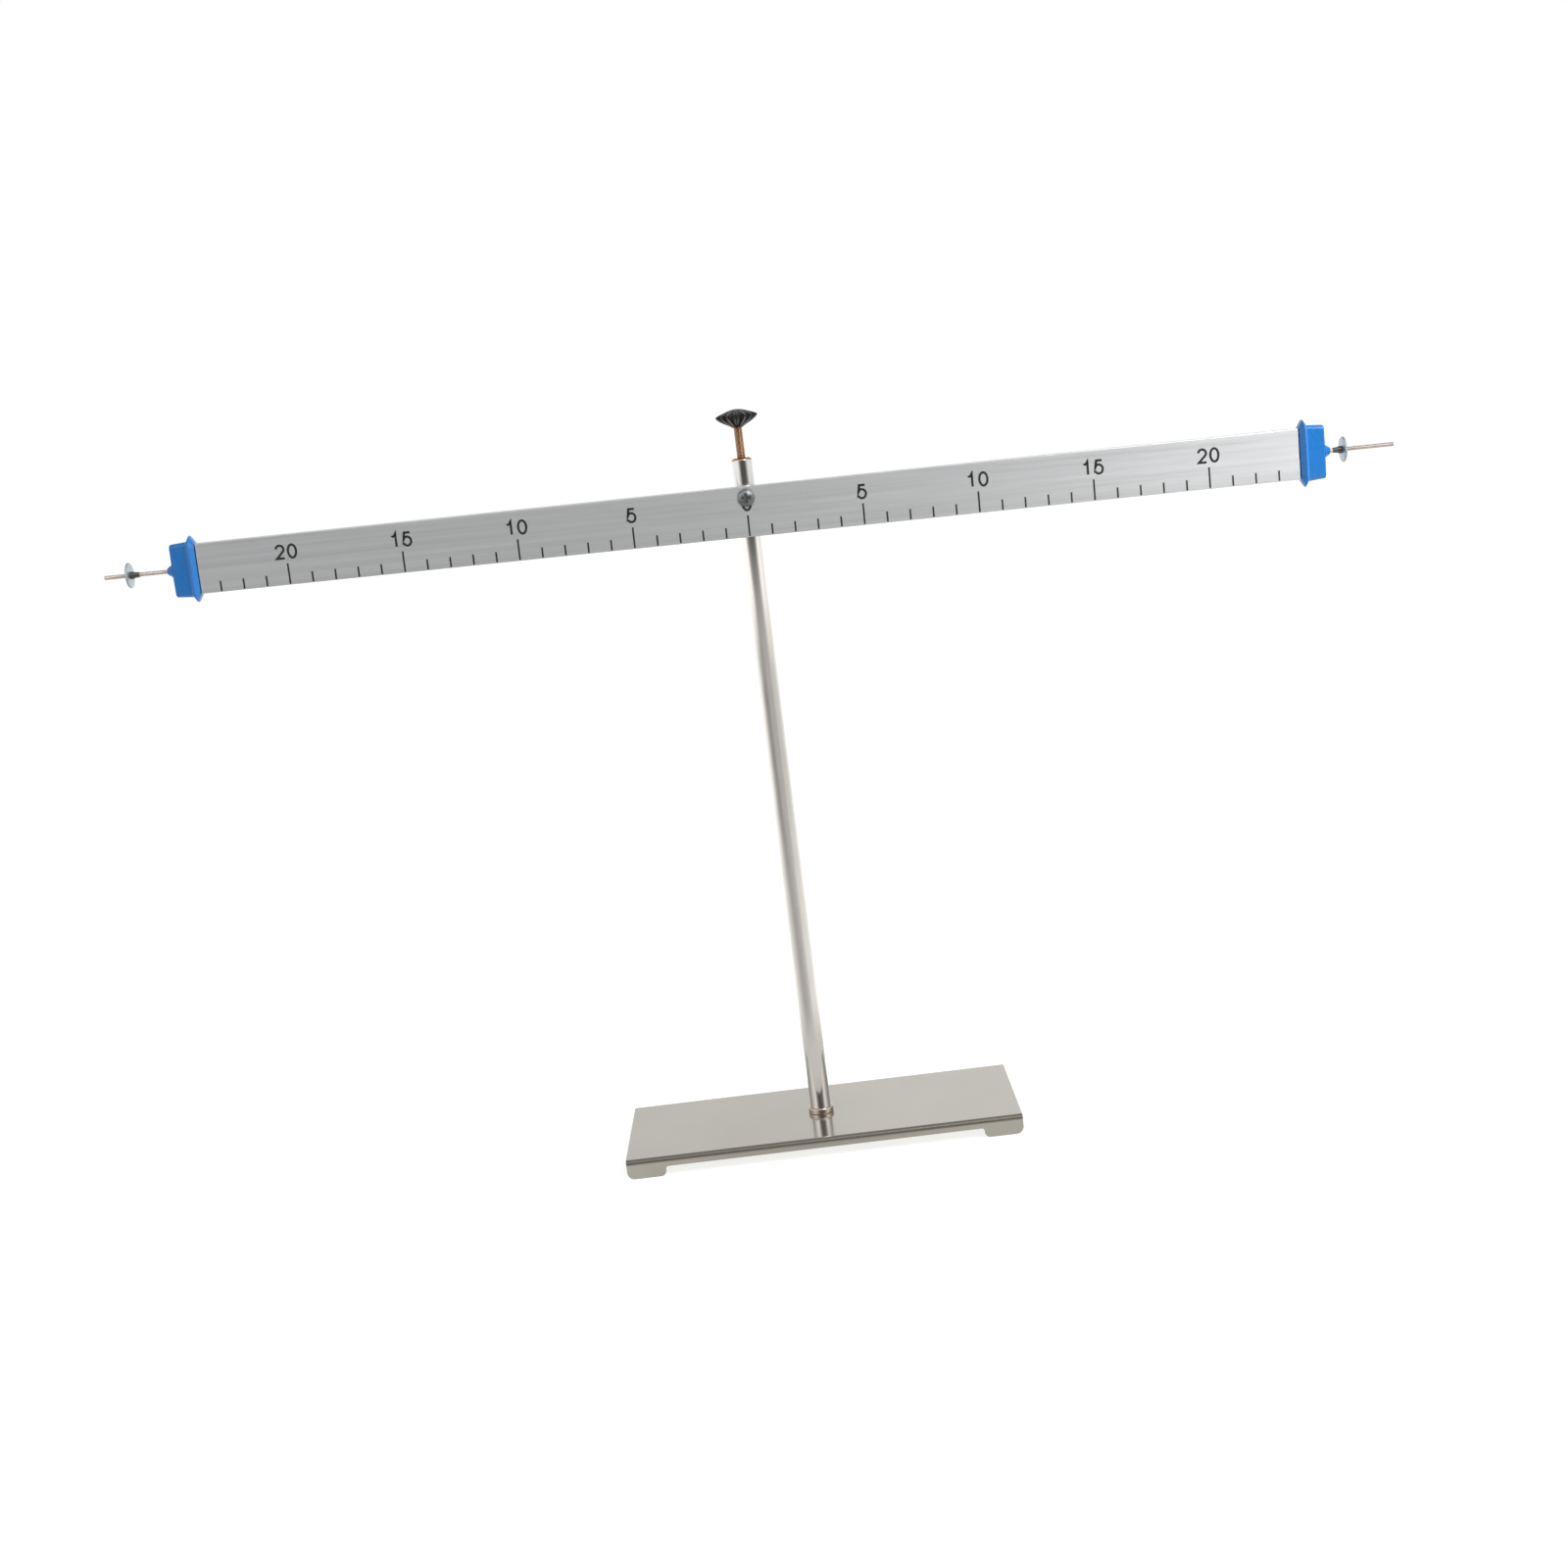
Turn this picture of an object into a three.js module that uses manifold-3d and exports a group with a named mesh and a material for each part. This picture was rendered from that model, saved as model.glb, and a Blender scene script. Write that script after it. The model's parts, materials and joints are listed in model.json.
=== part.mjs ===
// Lever balance: a scaled aluminium beam that tilts on a pin in the top of a chromed stand.
// Millimetres. +X runs along the beam to the right, -Y is the front, +Z is up.
// The origin is on the ground, under the rod and in the middle of the base.
import * as THREE from 'three';
import { mergeVertices } from 'three/addons/utils/BufferGeometryUtils.js';
import Module from 'manifold-3d';

const wasm = await Module();
wasm.setup();

// Clearances
const seatGap = 0.3; // between pieces that are seated on each other
const threadGap = 0.2; // around a thread, and around the pivot pin
const runGap = 0.2; // between faces that turn against each other
const overrun = 1; // how far a cutter reaches past what it cuts

// Base: an inverted channel of plated sheet that stands on four tabs
const baseLength = 178;
const baseWidth = 72.5;
const baseHeight = 8.8;
const sheetThickness = 1.2;
const bendRadius = 1.8;
const flangeDepth = 4.4;
const footLength = 17.5;
const footCornerRadius = 3.4;
const footInnerRadius = 2.6;
const footRootFillet = 1.2;

// Stand rod, with a threaded spigot through the base
const rodRadius = 4.7;
const rodChamfer = 1;
const rodAbovePivot = 17;
const spigotRadius = 3;
const spigotChamfer = 0.5;
const spigotBelowNut = 0.5;
const pivotHeight = 292.4;
const collarHeight = 2.4;
const collarThickness = 0.8;
const baseWasherRadius = 6;
const baseWasherThickness = 1;
const baseNutAcrossFlats = 10;
const baseNutThickness = 3.6;

// Beam: a rectangular aluminium tube
const beamLength = 478;
const beamHeight = 21.9;
const beamThickness = 7;
const beamWall = 1.2;
const beamCornerRadius = 0.5;
// The tube's middle is this far right of the pivot, so the beam balances at its rest tilt
const beamShift = 0.23;
const pivotAboveMiddle = 6;
const restTilt = THREE.MathUtils.degToRad(1); // right end down

// Pivot
const pinRadius = 1.8;
const pinChamfer = 0.4;
const pinBehindRod = 1.6;
const pinHeadRadius = 3.8;
const pinHeadThickness = 2;
const pinHeadEdge = 0.9;
const recessLength = 3.6;
const recessWidth = 0.9;
const recessDepth = 1.1;
const bushWall = 0.9;
const bushFlangeRadius = 4.6;
const bushFlangeThickness = 0.8;
const pivotWasherRadius = 4;
const pivotWasherThickness = 0.5;

// End cap: plug in the tube, a ridge of a rim before its end, tapered body and a boss for the adjuster rod
const plugLength = 12;
const plugCornerRadius = 0.6;
const rimHeight = 28.9;
const rimDepth = 11;
const rimCornerRadius = 5.3;
const rimStandOff = 0.4; // from the tube's end, because the plug sits tight before the rim touches
const rimRiseLength = 1.9; // slope from the tube up to the rim's crest
const rimCrestLength = 0.4;
const rimFallLength = 0.8; // slope from the crest down to the body
const rimLipOver = 0.35; // how far the rim's lower end stands out past the tube
const capBodyLength = 7.7;
const capRootHeight = 24;
const capRootDepth = 9.4;
const capTipHeight = 23.1;
const capTipDepth = 8.2;
const capCornerRadius = 2;
const capEdge = 0.9;
const bossLength = 2.8;
const bossRootRadius = 2.8;
const bossTipRadius = 1.7;

// Adjuster rod and the balance nut on it
const adjusterRadius = 1;
const adjusterChamfer = 0.3;
const adjusterReach = 41.8; // from the tube's end to the rod's tip
const anchorNutAcrossFlats = 4;
const anchorNutThickness = 1.6;
const adjusterBehindNut = 0.8;
const hubLength = 3.5;
const hubRootRadius = 1.7;
const hubNoseRadius = 1.5;
const discRadius = 5.5;
const discThickness = 1.4;
const discEdge = 0.3;
const leftDiscReach = 30.8; // from the tube's end to the middle of the disc
const rightDiscReach = 19.8;

// Thumb screw
const studRadius = 1.9;
const studPoint = 0.6;
const studVisible = 13;
const studInKnob = 5;
const knobRadius = 9.15;
const knobHeight = 8;
const fluteCount = 16;
const fluteDepth = 0.7;

// Knob outline from its underside to its crown, as shares of the knob's radius and height
const knobOutlineShares = [
  [0.28, 0], [0.38, 0.1], [0.54, 0.24], [0.72, 0.38], [0.88, 0.5], [0.97, 0.57], [1, 0.62], [0.98, 0.68],
  [0.88, 0.76], [0.7, 0.85], [0.5, 0.93], [0.3, 0.98], [0.15, 1],
];
const fluteStartShare = 0.35; // the flutes fade out inside this share of the knob's radius

// Facets round a circle
const coarseSteps = 20;
const fineSteps = 32;
const cornerSteps = 3;
const stepsPerFlute = 3;

// Places that follow from the sizes above
const rodFoot = baseHeight + seatGap;
const rodTop = pivotHeight + rodAbovePivot;
const washerTop = baseHeight - sheetThickness - seatGap;
const baseNutTop = washerTop - baseWasherThickness - seatGap;
const spigotEnd = baseNutTop - baseNutThickness - spigotBelowNut;
const spigotHole = spigotRadius + seatGap;
const rodFront = -rodRadius;
const pivotWasherRear = rodFront - seatGap;
const bushRear = pivotWasherRear - pivotWasherThickness - runGap;
const beamRear = bushRear - bushFlangeThickness - seatGap;
const beamFront = beamRear - beamThickness;
const beamMiddle = (beamFront + beamRear) / 2;
const bushBore = pinRadius + threadGap;
const bushRadius = bushBore + bushWall;
const cavityHeight = beamHeight - 2 * beamWall;
const cavityDepth = beamThickness - 2 * beamWall;
const plugEnd = -plugLength;
const anchorNutEnd = plugEnd - seatGap - anchorNutThickness;
const adjusterStart = anchorNutEnd - adjusterBehindNut;
const adjusterBore = adjusterRadius + threadGap;
const crestStart = rimStandOff + rimRiseLength;
const crestEnd = crestStart + rimCrestLength;
const rimEnd = crestEnd + rimFallLength;
const capBodyEnd = rimEnd + capBodyLength;
const bossEnd = capBodyEnd + bossLength;
const studBore = studRadius + threadGap;
const knobBottom = rodTop + studVisible;
const studTop = knobBottom + studInKnob;
const studBottom = pivotHeight + pinRadius + seatGap;

// Finishes
function finish(color, roughness, metalness) {
  return new THREE.MeshStandardMaterial({ color, roughness, metalness });
}
const nickelPlate = () => finish(0xb9b6b0, 0.22, 1);
const chrome = () => finish(0xcfcfcd, 0.08, 1);
const zincPlate = () => finish(0xaeb4b8, 0.35, 1);
const brushedAluminium = () => finish(0xc4c6c8, 0.38, 1);
const brass = () => finish(0x9a7452, 0.35, 1);
const bluePlastic = () => finish(0x2f7fd2, 0.35, 0);
const blackPlastic = () => finish(0x1c1c1c, 0.3, 0);

// A geometry with shared corners and without the slivers that a lathe leaves on its axis
function cleaned(geometry) {
  const bare = geometry.index ? geometry.clone() : mergeVertices(geometry);
  bare.deleteAttribute('normal');
  bare.deleteAttribute('uv');
  const merged = mergeVertices(bare);
  const corners = merged.index.array;
  const kept = [];
  for (let i = 0; i < corners.length; i += 3) {
    const [a, b, c] = [corners[i], corners[i + 1], corners[i + 2]];
    if (a !== b && b !== c && c !== a) kept.push(a, b, c);
  }
  merged.setIndex(kept);
  merged.computeVertexNormals();
  return merged;
}

function toSolid(geometry) {
  const merged = cleaned(geometry);
  return new wasm.Manifold(new wasm.Mesh({
    numProp: 3,
    vertProperties: Float32Array.from(merged.attributes.position.array),
    triVerts: Uint32Array.from(merged.index.array),
  }));
}

function toGeometry(solid) {
  const { vertProperties, triVerts } = solid.getMesh();
  const geometry = new THREE.BufferGeometry();
  geometry.setAttribute('position', new THREE.BufferAttribute(vertProperties, 3));
  geometry.setIndex(new THREE.BufferAttribute(triVerts, 1));
  geometry.computeVertexNormals();
  return geometry;
}

// Joins the first geometries and cuts the others away
function carved(joined, cutters = []) {
  let solid = toSolid(joined[0]);
  for (const geometry of joined.slice(1)) solid = solid.add(toSolid(geometry));
  for (const geometry of cutters) solid = solid.subtract(toSolid(geometry));
  return toGeometry(solid);
}

function named(name, geometry, material) {
  const mesh = new THREE.Mesh(cleaned(geometry), material);
  mesh.name = name;
  return mesh;
}

// Turned shapes: an outline of [radius, height] pairs, anticlockwise, about the axis named
const turns = {
  x: (geometry) => geometry.rotateZ(-Math.PI / 2),
  y: (geometry) => geometry,
  z: (geometry) => geometry.rotateX(Math.PI / 2),
};

function turned(outline, axis, steps = coarseSteps) {
  const points = outline.map(([radius, height]) => new THREE.Vector2(radius, height));
  return turns[axis](new THREE.LatheGeometry(points, steps));
}

function drum(radius, from, to, axis, steps = coarseSteps) {
  return turned([[0, from], [radius, from], [radius, to], [0, to]], axis, steps);
}

function ring(bore, radius, from, to, axis, steps = coarseSteps) {
  return turned([[bore, from], [radius, from], [radius, to], [bore, to], [bore, from]], axis, steps);
}

// A drum with both ends chamfered
function pinShape(radius, chamfer, from, to, axis, steps = coarseSteps) {
  return turned([
    [0, from], [radius - chamfer, from], [radius, from + chamfer],
    [radius, to - chamfer], [radius - chamfer, to], [0, to],
  ], axis, steps);
}

// Extruded shapes: an outline across X, Y or Z, from one place on that axis to another
const acrossX = new THREE.Matrix4().makeBasis(
  new THREE.Vector3(0, 1, 0), new THREE.Vector3(0, 0, 1), new THREE.Vector3(1, 0, 0));
const acrossY = new THREE.Matrix4().makeBasis(
  new THREE.Vector3(1, 0, 0), new THREE.Vector3(0, 0, 1), new THREE.Vector3(0, -1, 0));

function slab(shape, depth, edge = 0) {
  const geometry = new THREE.ExtrudeGeometry(shape, {
    depth: depth - 2 * edge,
    bevelEnabled: edge > 0,
    bevelThickness: edge,
    bevelSize: edge,
    bevelOffset: -edge,
    bevelSegments: 2,
    curveSegments: cornerSteps,
  });
  return geometry.translate(0, 0, edge);
}

function slabX(shape, from, to, edge = 0) {
  return slab(shape, to - from, edge).applyMatrix4(acrossX).translate(from, 0, 0);
}

// The outline lies in X and Z, and the slab runs from the rear place to the front one
function slabY(shape, rear, front) {
  return slab(shape, rear - front).applyMatrix4(acrossY).translate(0, rear, 0);
}

function roundedRectangle(width, height, radius) {
  const [x, y] = [width / 2 - radius, height / 2 - radius];
  const shape = new THREE.Shape();
  shape.absarc(x, -y, radius, -Math.PI / 2, 0, false);
  shape.absarc(x, y, radius, 0, Math.PI / 2, false);
  shape.absarc(-x, y, radius, Math.PI / 2, Math.PI, false);
  shape.absarc(-x, -y, radius, Math.PI, 1.5 * Math.PI, false);
  shape.closePath();
  return shape;
}

function rectangle(width, height) {
  const [x, y] = [width / 2, height / 2];
  const corners = [[-x, -y], [x, -y], [x, y], [-x, y]];
  return new THREE.Shape(corners.map(([a, b]) => new THREE.Vector2(a, b)));
}

// Six-sided outline with two flats that face along the outline's first direction
function hexagon(acrossFlats) {
  const cornerRadius = acrossFlats / Math.sqrt(3);
  const corners = [];
  for (let i = 0; i < 6; i += 1) {
    const angle = (i + 0.5) * Math.PI / 3;
    corners.push(new THREE.Vector2(cornerRadius * Math.cos(angle), cornerRadius * Math.sin(angle)));
  }
  return new THREE.Shape(corners);
}

// Base: the channel's section, cut to the side outline with its tabs
function channelSection() {
  const [side, wall] = [baseWidth / 2, sheetThickness];
  const [bendY, bendZ, inner] = [side - bendRadius, baseHeight - bendRadius, bendRadius - wall];
  const shape = new THREE.Shape();
  shape.absarc(bendY, bendZ, bendRadius, 0, Math.PI / 2, false);
  shape.absarc(-bendY, bendZ, bendRadius, Math.PI / 2, Math.PI, false);
  shape.lineTo(-side, 0);
  shape.lineTo(wall - side, 0);
  shape.absarc(-bendY, bendZ, inner, Math.PI, Math.PI / 2, true);
  shape.absarc(bendY, bendZ, inner, Math.PI / 2, 0, true);
  shape.lineTo(side - wall, 0);
  shape.lineTo(side, 0);
  shape.closePath();
  return shape;
}

function sideOutline() {
  const [end, recess] = [baseLength / 2, baseHeight - flangeDepth];
  const footInner = end - footLength;
  const [foot, inside, fillet] = [footCornerRadius, footInnerRadius, footRootFillet];
  const [quarter, half] = [Math.PI / 2, Math.PI];
  const shape = new THREE.Shape();
  shape.absarc(foot - end, foot, foot, half, half + quarter, false);
  shape.absarc(-footInner - inside, inside, inside, -quarter, 0, false);
  shape.absarc(fillet - footInner, recess - fillet, fillet, half, quarter, true);
  shape.absarc(footInner - fillet, recess - fillet, fillet, quarter, 0, true);
  shape.absarc(footInner + inside, inside, inside, half, half + quarter, false);
  shape.absarc(end - foot, foot, foot, -quarter, 0, false);
  shape.lineTo(end, baseHeight + overrun);
  shape.lineTo(-end, baseHeight + overrun);
  shape.closePath();
  return shape;
}

function baseChannel() {
  const channel = toSolid(slabX(channelSection(), -baseLength / 2, baseLength / 2));
  const outline = toSolid(slabY(sideOutline(), baseWidth / 2 + overrun, -baseWidth / 2 - overrun));
  const hole = toSolid(drum(spigotHole, 0, baseHeight + overrun, 'z', fineSteps));
  return named('base_channel', toGeometry(channel.intersect(outline).subtract(hole)), nickelPlate());
}

// A ring round the rod's foot, round on its outside
function baseCollar() {
  const [bore, half] = [rodRadius + seatGap, collarHeight / 2];
  const outline = [];
  for (let i = 0; i <= 2 * cornerSteps; i += 1) {
    const angle = (i / (2 * cornerSteps) - 0.5) * Math.PI;
    outline.push([bore + collarThickness * Math.cos(angle), rodFoot + half + half * Math.sin(angle)]);
  }
  outline[0][0] = bore;
  outline[2 * cornerSteps][0] = bore;
  outline.push(outline[0]);
  return named('base_collar', turned(outline, 'z', fineSteps), chrome());
}

function standRod() {
  const body = turned([
    [0, spigotEnd], [spigotRadius - spigotChamfer, spigotEnd], [spigotRadius, spigotEnd + spigotChamfer],
    [spigotRadius, rodFoot], [rodRadius, rodFoot], [rodRadius, rodTop - rodChamfer],
    [rodRadius - rodChamfer, rodTop], [0, rodTop],
  ], 'z', fineSteps);
  const tapped = drum(studBore, pivotHeight, rodTop + overrun, 'z');
  const crossHole = drum(bushBore, rodFront - overrun, rodRadius + overrun, 'y')
    .translate(0, 0, pivotHeight);
  return named('stand_rod', carved([body], [tapped, crossHole]), chrome());
}

function baseWasher() {
  const shape = ring(spigotHole, baseWasherRadius, washerTop - baseWasherThickness, washerTop, 'z');
  return named('base_washer', shape, zincPlate());
}

function hexNut(name, acrossFlats, bore, from, to, axis) {
  const body = axis === 'x'
    ? slabX(hexagon(acrossFlats), from, to)
    : slab(hexagon(acrossFlats), to - from).translate(0, 0, from);
  return named(name, carved([body], [drum(bore, from - overrun, to + overrun, axis)]), zincPlate());
}

// Pivot: the pin is clamped in the rod, and the bush turns on it
function pivotPin() {
  const [headRear, rear] = [beamFront - runGap, rodRadius + pinBehindRod];
  const headFront = headRear - pinHeadThickness;
  const outline = [[0, headFront]];
  for (let i = 1; i <= cornerSteps; i += 1) {
    const angle = (i / cornerSteps) * Math.PI / 2;
    const drop = (pinHeadThickness - pinHeadEdge) * (1 - Math.cos(angle));
    outline.push([pinHeadRadius * Math.sin(angle), headFront + drop]);
  }
  outline.push(
    [pinHeadRadius, headRear], [pinRadius, headRear],
    [pinRadius, rear - pinChamfer], [pinRadius - pinChamfer, rear], [0, rear],
  );
  const recessFloor = headFront + recessDepth;
  const slots = [rectangle(recessLength, recessWidth), rectangle(recessWidth, recessLength)]
    .map((shape) => slabY(shape, recessFloor, headFront - overrun));
  const geometry = carved([turned(outline, 'y')], slots).translate(0, 0, pivotHeight);
  return named('pivot_pin', geometry, zincPlate());
}

function pivotWasher() {
  const front = pivotWasherRear - pivotWasherThickness;
  const shape = ring(bushBore, pivotWasherRadius, front, pivotWasherRear, 'y');
  return named('pivot_washer', shape.translate(0, 0, pivotHeight), zincPlate());
}

// The pieces below are placed from the pivot, inside the tilted beam group
function pivotBush() {
  const [front, shoulder, rear] = [beamFront, beamRear + seatGap, bushRear].map((y) => y - beamMiddle);
  const outline = [
    [bushBore, front], [bushRadius, front], [bushRadius, shoulder],
    [bushFlangeRadius, shoulder], [bushFlangeRadius, rear], [bushBore, rear], [bushBore, front],
  ];
  return named('pivot_bush', turned(outline, 'y'), brass());
}

function beamTube() {
  const section = roundedRectangle(beamThickness, beamHeight, beamCornerRadius);
  section.holes.push(rectangle(cavityDepth, cavityHeight));
  const [left, right] = [beamShift - beamLength / 2, beamShift + beamLength / 2];
  const tube = slabX(section, left, right).translate(0, 0, -pivotAboveMiddle);
  const reach = beamThickness / 2 + overrun;
  const holes = drum(bushRadius + seatGap, -reach, reach, 'y');
  return named('beam_tube', carved([tube], [holes]), brushedAluminium());
}

// Narrows a shape along X, from its own depth and height at one place to those given at another
function narrowed(geometry, from, to, [depth, height], [lastDepth, lastHeight]) {
  const place = geometry.attributes.position;
  for (let i = 0; i < place.count; i += 1) {
    const along = THREE.MathUtils.clamp((place.getX(i) - from) / (to - from), 0, 1);
    place.setY(i, place.getY(i) * (1 + along * (lastDepth / depth - 1)));
    place.setZ(i, place.getZ(i) * (1 + along * (lastHeight / height - 1)));
  }
  return geometry;
}

// A ridge: a long slope up from the tube, a narrow crest, and a short slope down to the body
function capRim() {
  const outline = roundedRectangle(rimDepth, rimHeight, rimCornerRadius);
  const [rim, root] = [[rimDepth, rimHeight], [capRootDepth, capRootHeight]];
  const lip = [beamThickness + 2 * rimLipOver, beamHeight + 2 * rimLipOver];
  return [
    narrowed(slabX(outline, rimStandOff, crestStart), crestStart, rimStandOff, rim, lip),
    slabX(outline, crestStart, crestEnd),
    narrowed(slabX(outline, crestEnd, rimEnd), crestEnd, rimEnd, rim, root),
  ];
}

function capBody() {
  const [root, tip] = [[capRootDepth, capRootHeight], [capTipDepth, capTipHeight]];
  const outline = roundedRectangle(capRootDepth, capRootHeight, capCornerRadius);
  return narrowed(slabX(outline, crestEnd - capEdge, capBodyEnd, capEdge), rimEnd, capBodyEnd, root, tip);
}

function endCap(side) {
  const [plugDepth, plugHeight] = [cavityDepth - 2 * seatGap, cavityHeight - 2 * seatGap];
  const plugOutline = roundedRectangle(plugDepth, plugHeight, plugCornerRadius);
  const boss = turned([
    [0, capBodyEnd - capEdge], [bossRootRadius, capBodyEnd - capEdge], [bossRootRadius, capBodyEnd],
    [bossTipRadius, bossEnd], [0, bossEnd],
  ], 'x');
  const joined = [
    ...capRim(),
    capBody(),
    slabX(plugOutline, plugEnd, crestEnd),
    boss,
  ];
  const bore = drum(adjusterBore, plugEnd - overrun, bossEnd + overrun, 'x');
  return named(`${side}_end_cap`, carved(joined, [bore]), bluePlastic());
}

function adjusterRod(side) {
  const shape = pinShape(adjusterRadius, adjusterChamfer, adjusterStart, adjusterReach, 'x');
  return named(`${side}_adjuster_rod`, shape, brass());
}

// The balance nut: a turned hub whose nose faces the cap, and the thin disc pressed on it
function balanceHub(side, discReach) {
  const hubEnd = discReach - discThickness / 2 - seatGap;
  const nose = hubEnd - hubLength;
  const outline = [
    [adjusterBore, nose], [hubNoseRadius, nose], [hubRootRadius, nose + hubLength / 2],
    [hubRootRadius, hubEnd], [adjusterBore, hubEnd], [adjusterBore, nose],
  ];
  return named(`${side}_balance_hub`, turned(outline, 'x'), brass());
}

function balanceDisc(side, discReach) {
  const [from, to] = [discReach - discThickness / 2, discReach + discThickness / 2];
  const outline = [
    [adjusterBore, from], [discRadius - discEdge, from], [discRadius, from + discEdge],
    [discRadius, to - discEdge], [discRadius - discEdge, to], [adjusterBore, to], [adjusterBore, from],
  ];
  return named(`${side}_balance_disc`, turned(outline, 'x', fineSteps), zincPlate());
}

// Everything at one end of the beam, measured outward from the tube's end
function beamEnd(side, discReach) {
  const end = new THREE.Group();
  const outward = side === 'right' ? 1 : -1;
  end.rotation.z = side === 'right' ? 0 : Math.PI;
  end.position.set(beamShift + outward * beamLength / 2, 0, -pivotAboveMiddle);
  end.add(
    endCap(side),
    adjusterRod(side),
    hexNut(`${side}_anchor_nut`, anchorNutAcrossFlats, adjusterBore, anchorNutEnd, plugEnd - seatGap, 'x'),
    balanceHub(side, discReach),
    balanceDisc(side, discReach),
  );
  return end;
}

function beam() {
  const group = new THREE.Group();
  group.position.set(0, beamMiddle, pivotHeight);
  group.rotation.y = restTilt;
  group.add(beamTube(), pivotBush(), beamEnd('left', leftDiscReach), beamEnd('right', rightDiscReach));
  return group;
}

// Thumb screw: its point bears on the pivot pin
function thumbStud() {
  const shape = turned([
    [0, studBottom], [studRadius - studPoint, studBottom], [studRadius, studBottom + studPoint],
    [studRadius, studTop], [0, studTop],
  ], 'z');
  return named('thumb_stud', shape, brass());
}

// The knob's side is fluted: its radius falls by the flute's depth between two ribs
function thumbKnob() {
  const outline = [[studBore, knobBottom]];
  for (const [radiusShare, heightShare] of knobOutlineShares) {
    outline.push([radiusShare * knobRadius, knobBottom + heightShare * knobHeight]);
  }
  outline.push(
    [0, knobBottom + knobHeight], [0, studTop + seatGap],
    [studBore, studTop + seatGap], [studBore, knobBottom],
  );
  const geometry = turned(outline, 'z', fluteCount * stepsPerFlute);
  const place = geometry.attributes.position;
  const fadeStart = fluteStartShare * knobRadius;
  for (let i = 0; i < place.count; i += 1) {
    const [x, y] = [place.getX(i), place.getY(i)];
    const radius = Math.hypot(x, y);
    const strength = THREE.MathUtils.clamp((radius - fadeStart) / (knobRadius - fadeStart), 0, 1);
    const dip = fluteDepth * strength * (1 - Math.cos(fluteCount * Math.atan2(y, x))) / 2;
    const scale = radius > 0 ? 1 - dip / radius : 1;
    place.setX(i, x * scale);
    place.setY(i, y * scale);
  }
  return named('thumb_knob', geometry, blackPlastic());
}

const leverBalance = new THREE.Group();
leverBalance.add(
  baseChannel(),
  baseCollar(),
  standRod(),
  baseWasher(),
  hexNut('base_nut', baseNutAcrossFlats, spigotHole, baseNutTop - baseNutThickness, baseNutTop, 'z'),
  pivotPin(),
  pivotWasher(),
  beam(),
  thumbStud(),
  thumbKnob(),
);

export default leverBalance;
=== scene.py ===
import bmesh
import bpy
import json
import math
import numpy as np
from mathutils import Matrix


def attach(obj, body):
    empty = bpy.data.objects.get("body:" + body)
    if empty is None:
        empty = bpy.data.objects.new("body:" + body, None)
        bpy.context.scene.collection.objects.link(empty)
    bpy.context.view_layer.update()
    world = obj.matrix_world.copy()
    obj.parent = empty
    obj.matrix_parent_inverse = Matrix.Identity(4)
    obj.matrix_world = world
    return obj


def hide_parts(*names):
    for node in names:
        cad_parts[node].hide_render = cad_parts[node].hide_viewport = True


# School lever balance: plated stand, brushed aluminium beam with a centimetre scale,
# blue end caps, balance nuts on threaded rods and a thumb screw that clamps the pivot.
# Sizes in the dictionaries are in millimetres and angles in degrees, unless a name says otherwise.

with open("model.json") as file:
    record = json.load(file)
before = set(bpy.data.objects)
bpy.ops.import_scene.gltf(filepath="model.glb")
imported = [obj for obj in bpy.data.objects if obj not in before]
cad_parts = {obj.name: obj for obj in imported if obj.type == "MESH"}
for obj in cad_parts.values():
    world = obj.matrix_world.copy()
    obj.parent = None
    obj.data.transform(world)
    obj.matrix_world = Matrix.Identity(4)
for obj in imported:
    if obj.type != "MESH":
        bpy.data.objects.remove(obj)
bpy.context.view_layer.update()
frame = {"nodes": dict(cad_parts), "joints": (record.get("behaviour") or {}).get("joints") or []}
scene = bpy.context.scene
nodes = frame["nodes"]
joints = {joint["name"]: joint for joint in frame["joints"]}
mm = 0.001
print("frame loaded:", len(nodes), "nodes")


# Places: each is a matrix from a piece's own axes, in millimetres, to the row's frame

def placeFrom(origin, xAxis, yAxis, zAxis):
    place = np.eye(4)
    place[:3, :3] = np.array([xAxis, yAxis, zAxis], float).T
    place[:3, 3] = origin
    return place


def meshPoints(mesh):
    points = np.empty(len(mesh.vertices) * 3)
    mesh.vertices.foreach_get("co", points)
    return points.reshape(-1, 3) / mm


def extent(node, place):
    # lowest and highest corner of a CAD node, measured along a place's own axes
    local = (meshPoints(nodes[node].data) - place[:3, 3]) @ place[:3, :3]
    return local.min(axis=0), local.max(axis=0)


def reach(node, place):
    # how far a node reaches along X, which is a turned one's radius, and the heights of its foot and top
    low, high = extent(node, place)
    return high[0], low[2], high[2]


outwardRight = np.array(joints["right_nut_travel"]["axis"], float)
restTilt = math.atan2(-outwardRight[2], outwardRight[0])
pivot = np.array(joints["beam_tilt"]["pos_m"]) / mm
alongBeam = np.array([math.cos(restTilt), 0, -math.sin(restTilt)])
upBeam = np.array([math.sin(restTilt), 0, math.cos(restTilt)])
toBack = np.array([0, 1, 0])
upright = np.array([0, 0, 1])
sideways = np.array([1, 0, 0])

standPlace = placeFrom([0, 0, 0], sideways, toBack, upright)
beamPlace = placeFrom(pivot, alongBeam, toBack, upBeam)
# height runs towards the front here, for what is turned about the pivot
pivotPlace = placeFrom([0, 0, pivot[2]], sideways, upright, -toBack)
tubeLow, tubeHigh = extent("beam_tube", beamPlace)
tubeMiddle = (tubeLow + tubeHigh) / 2


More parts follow.
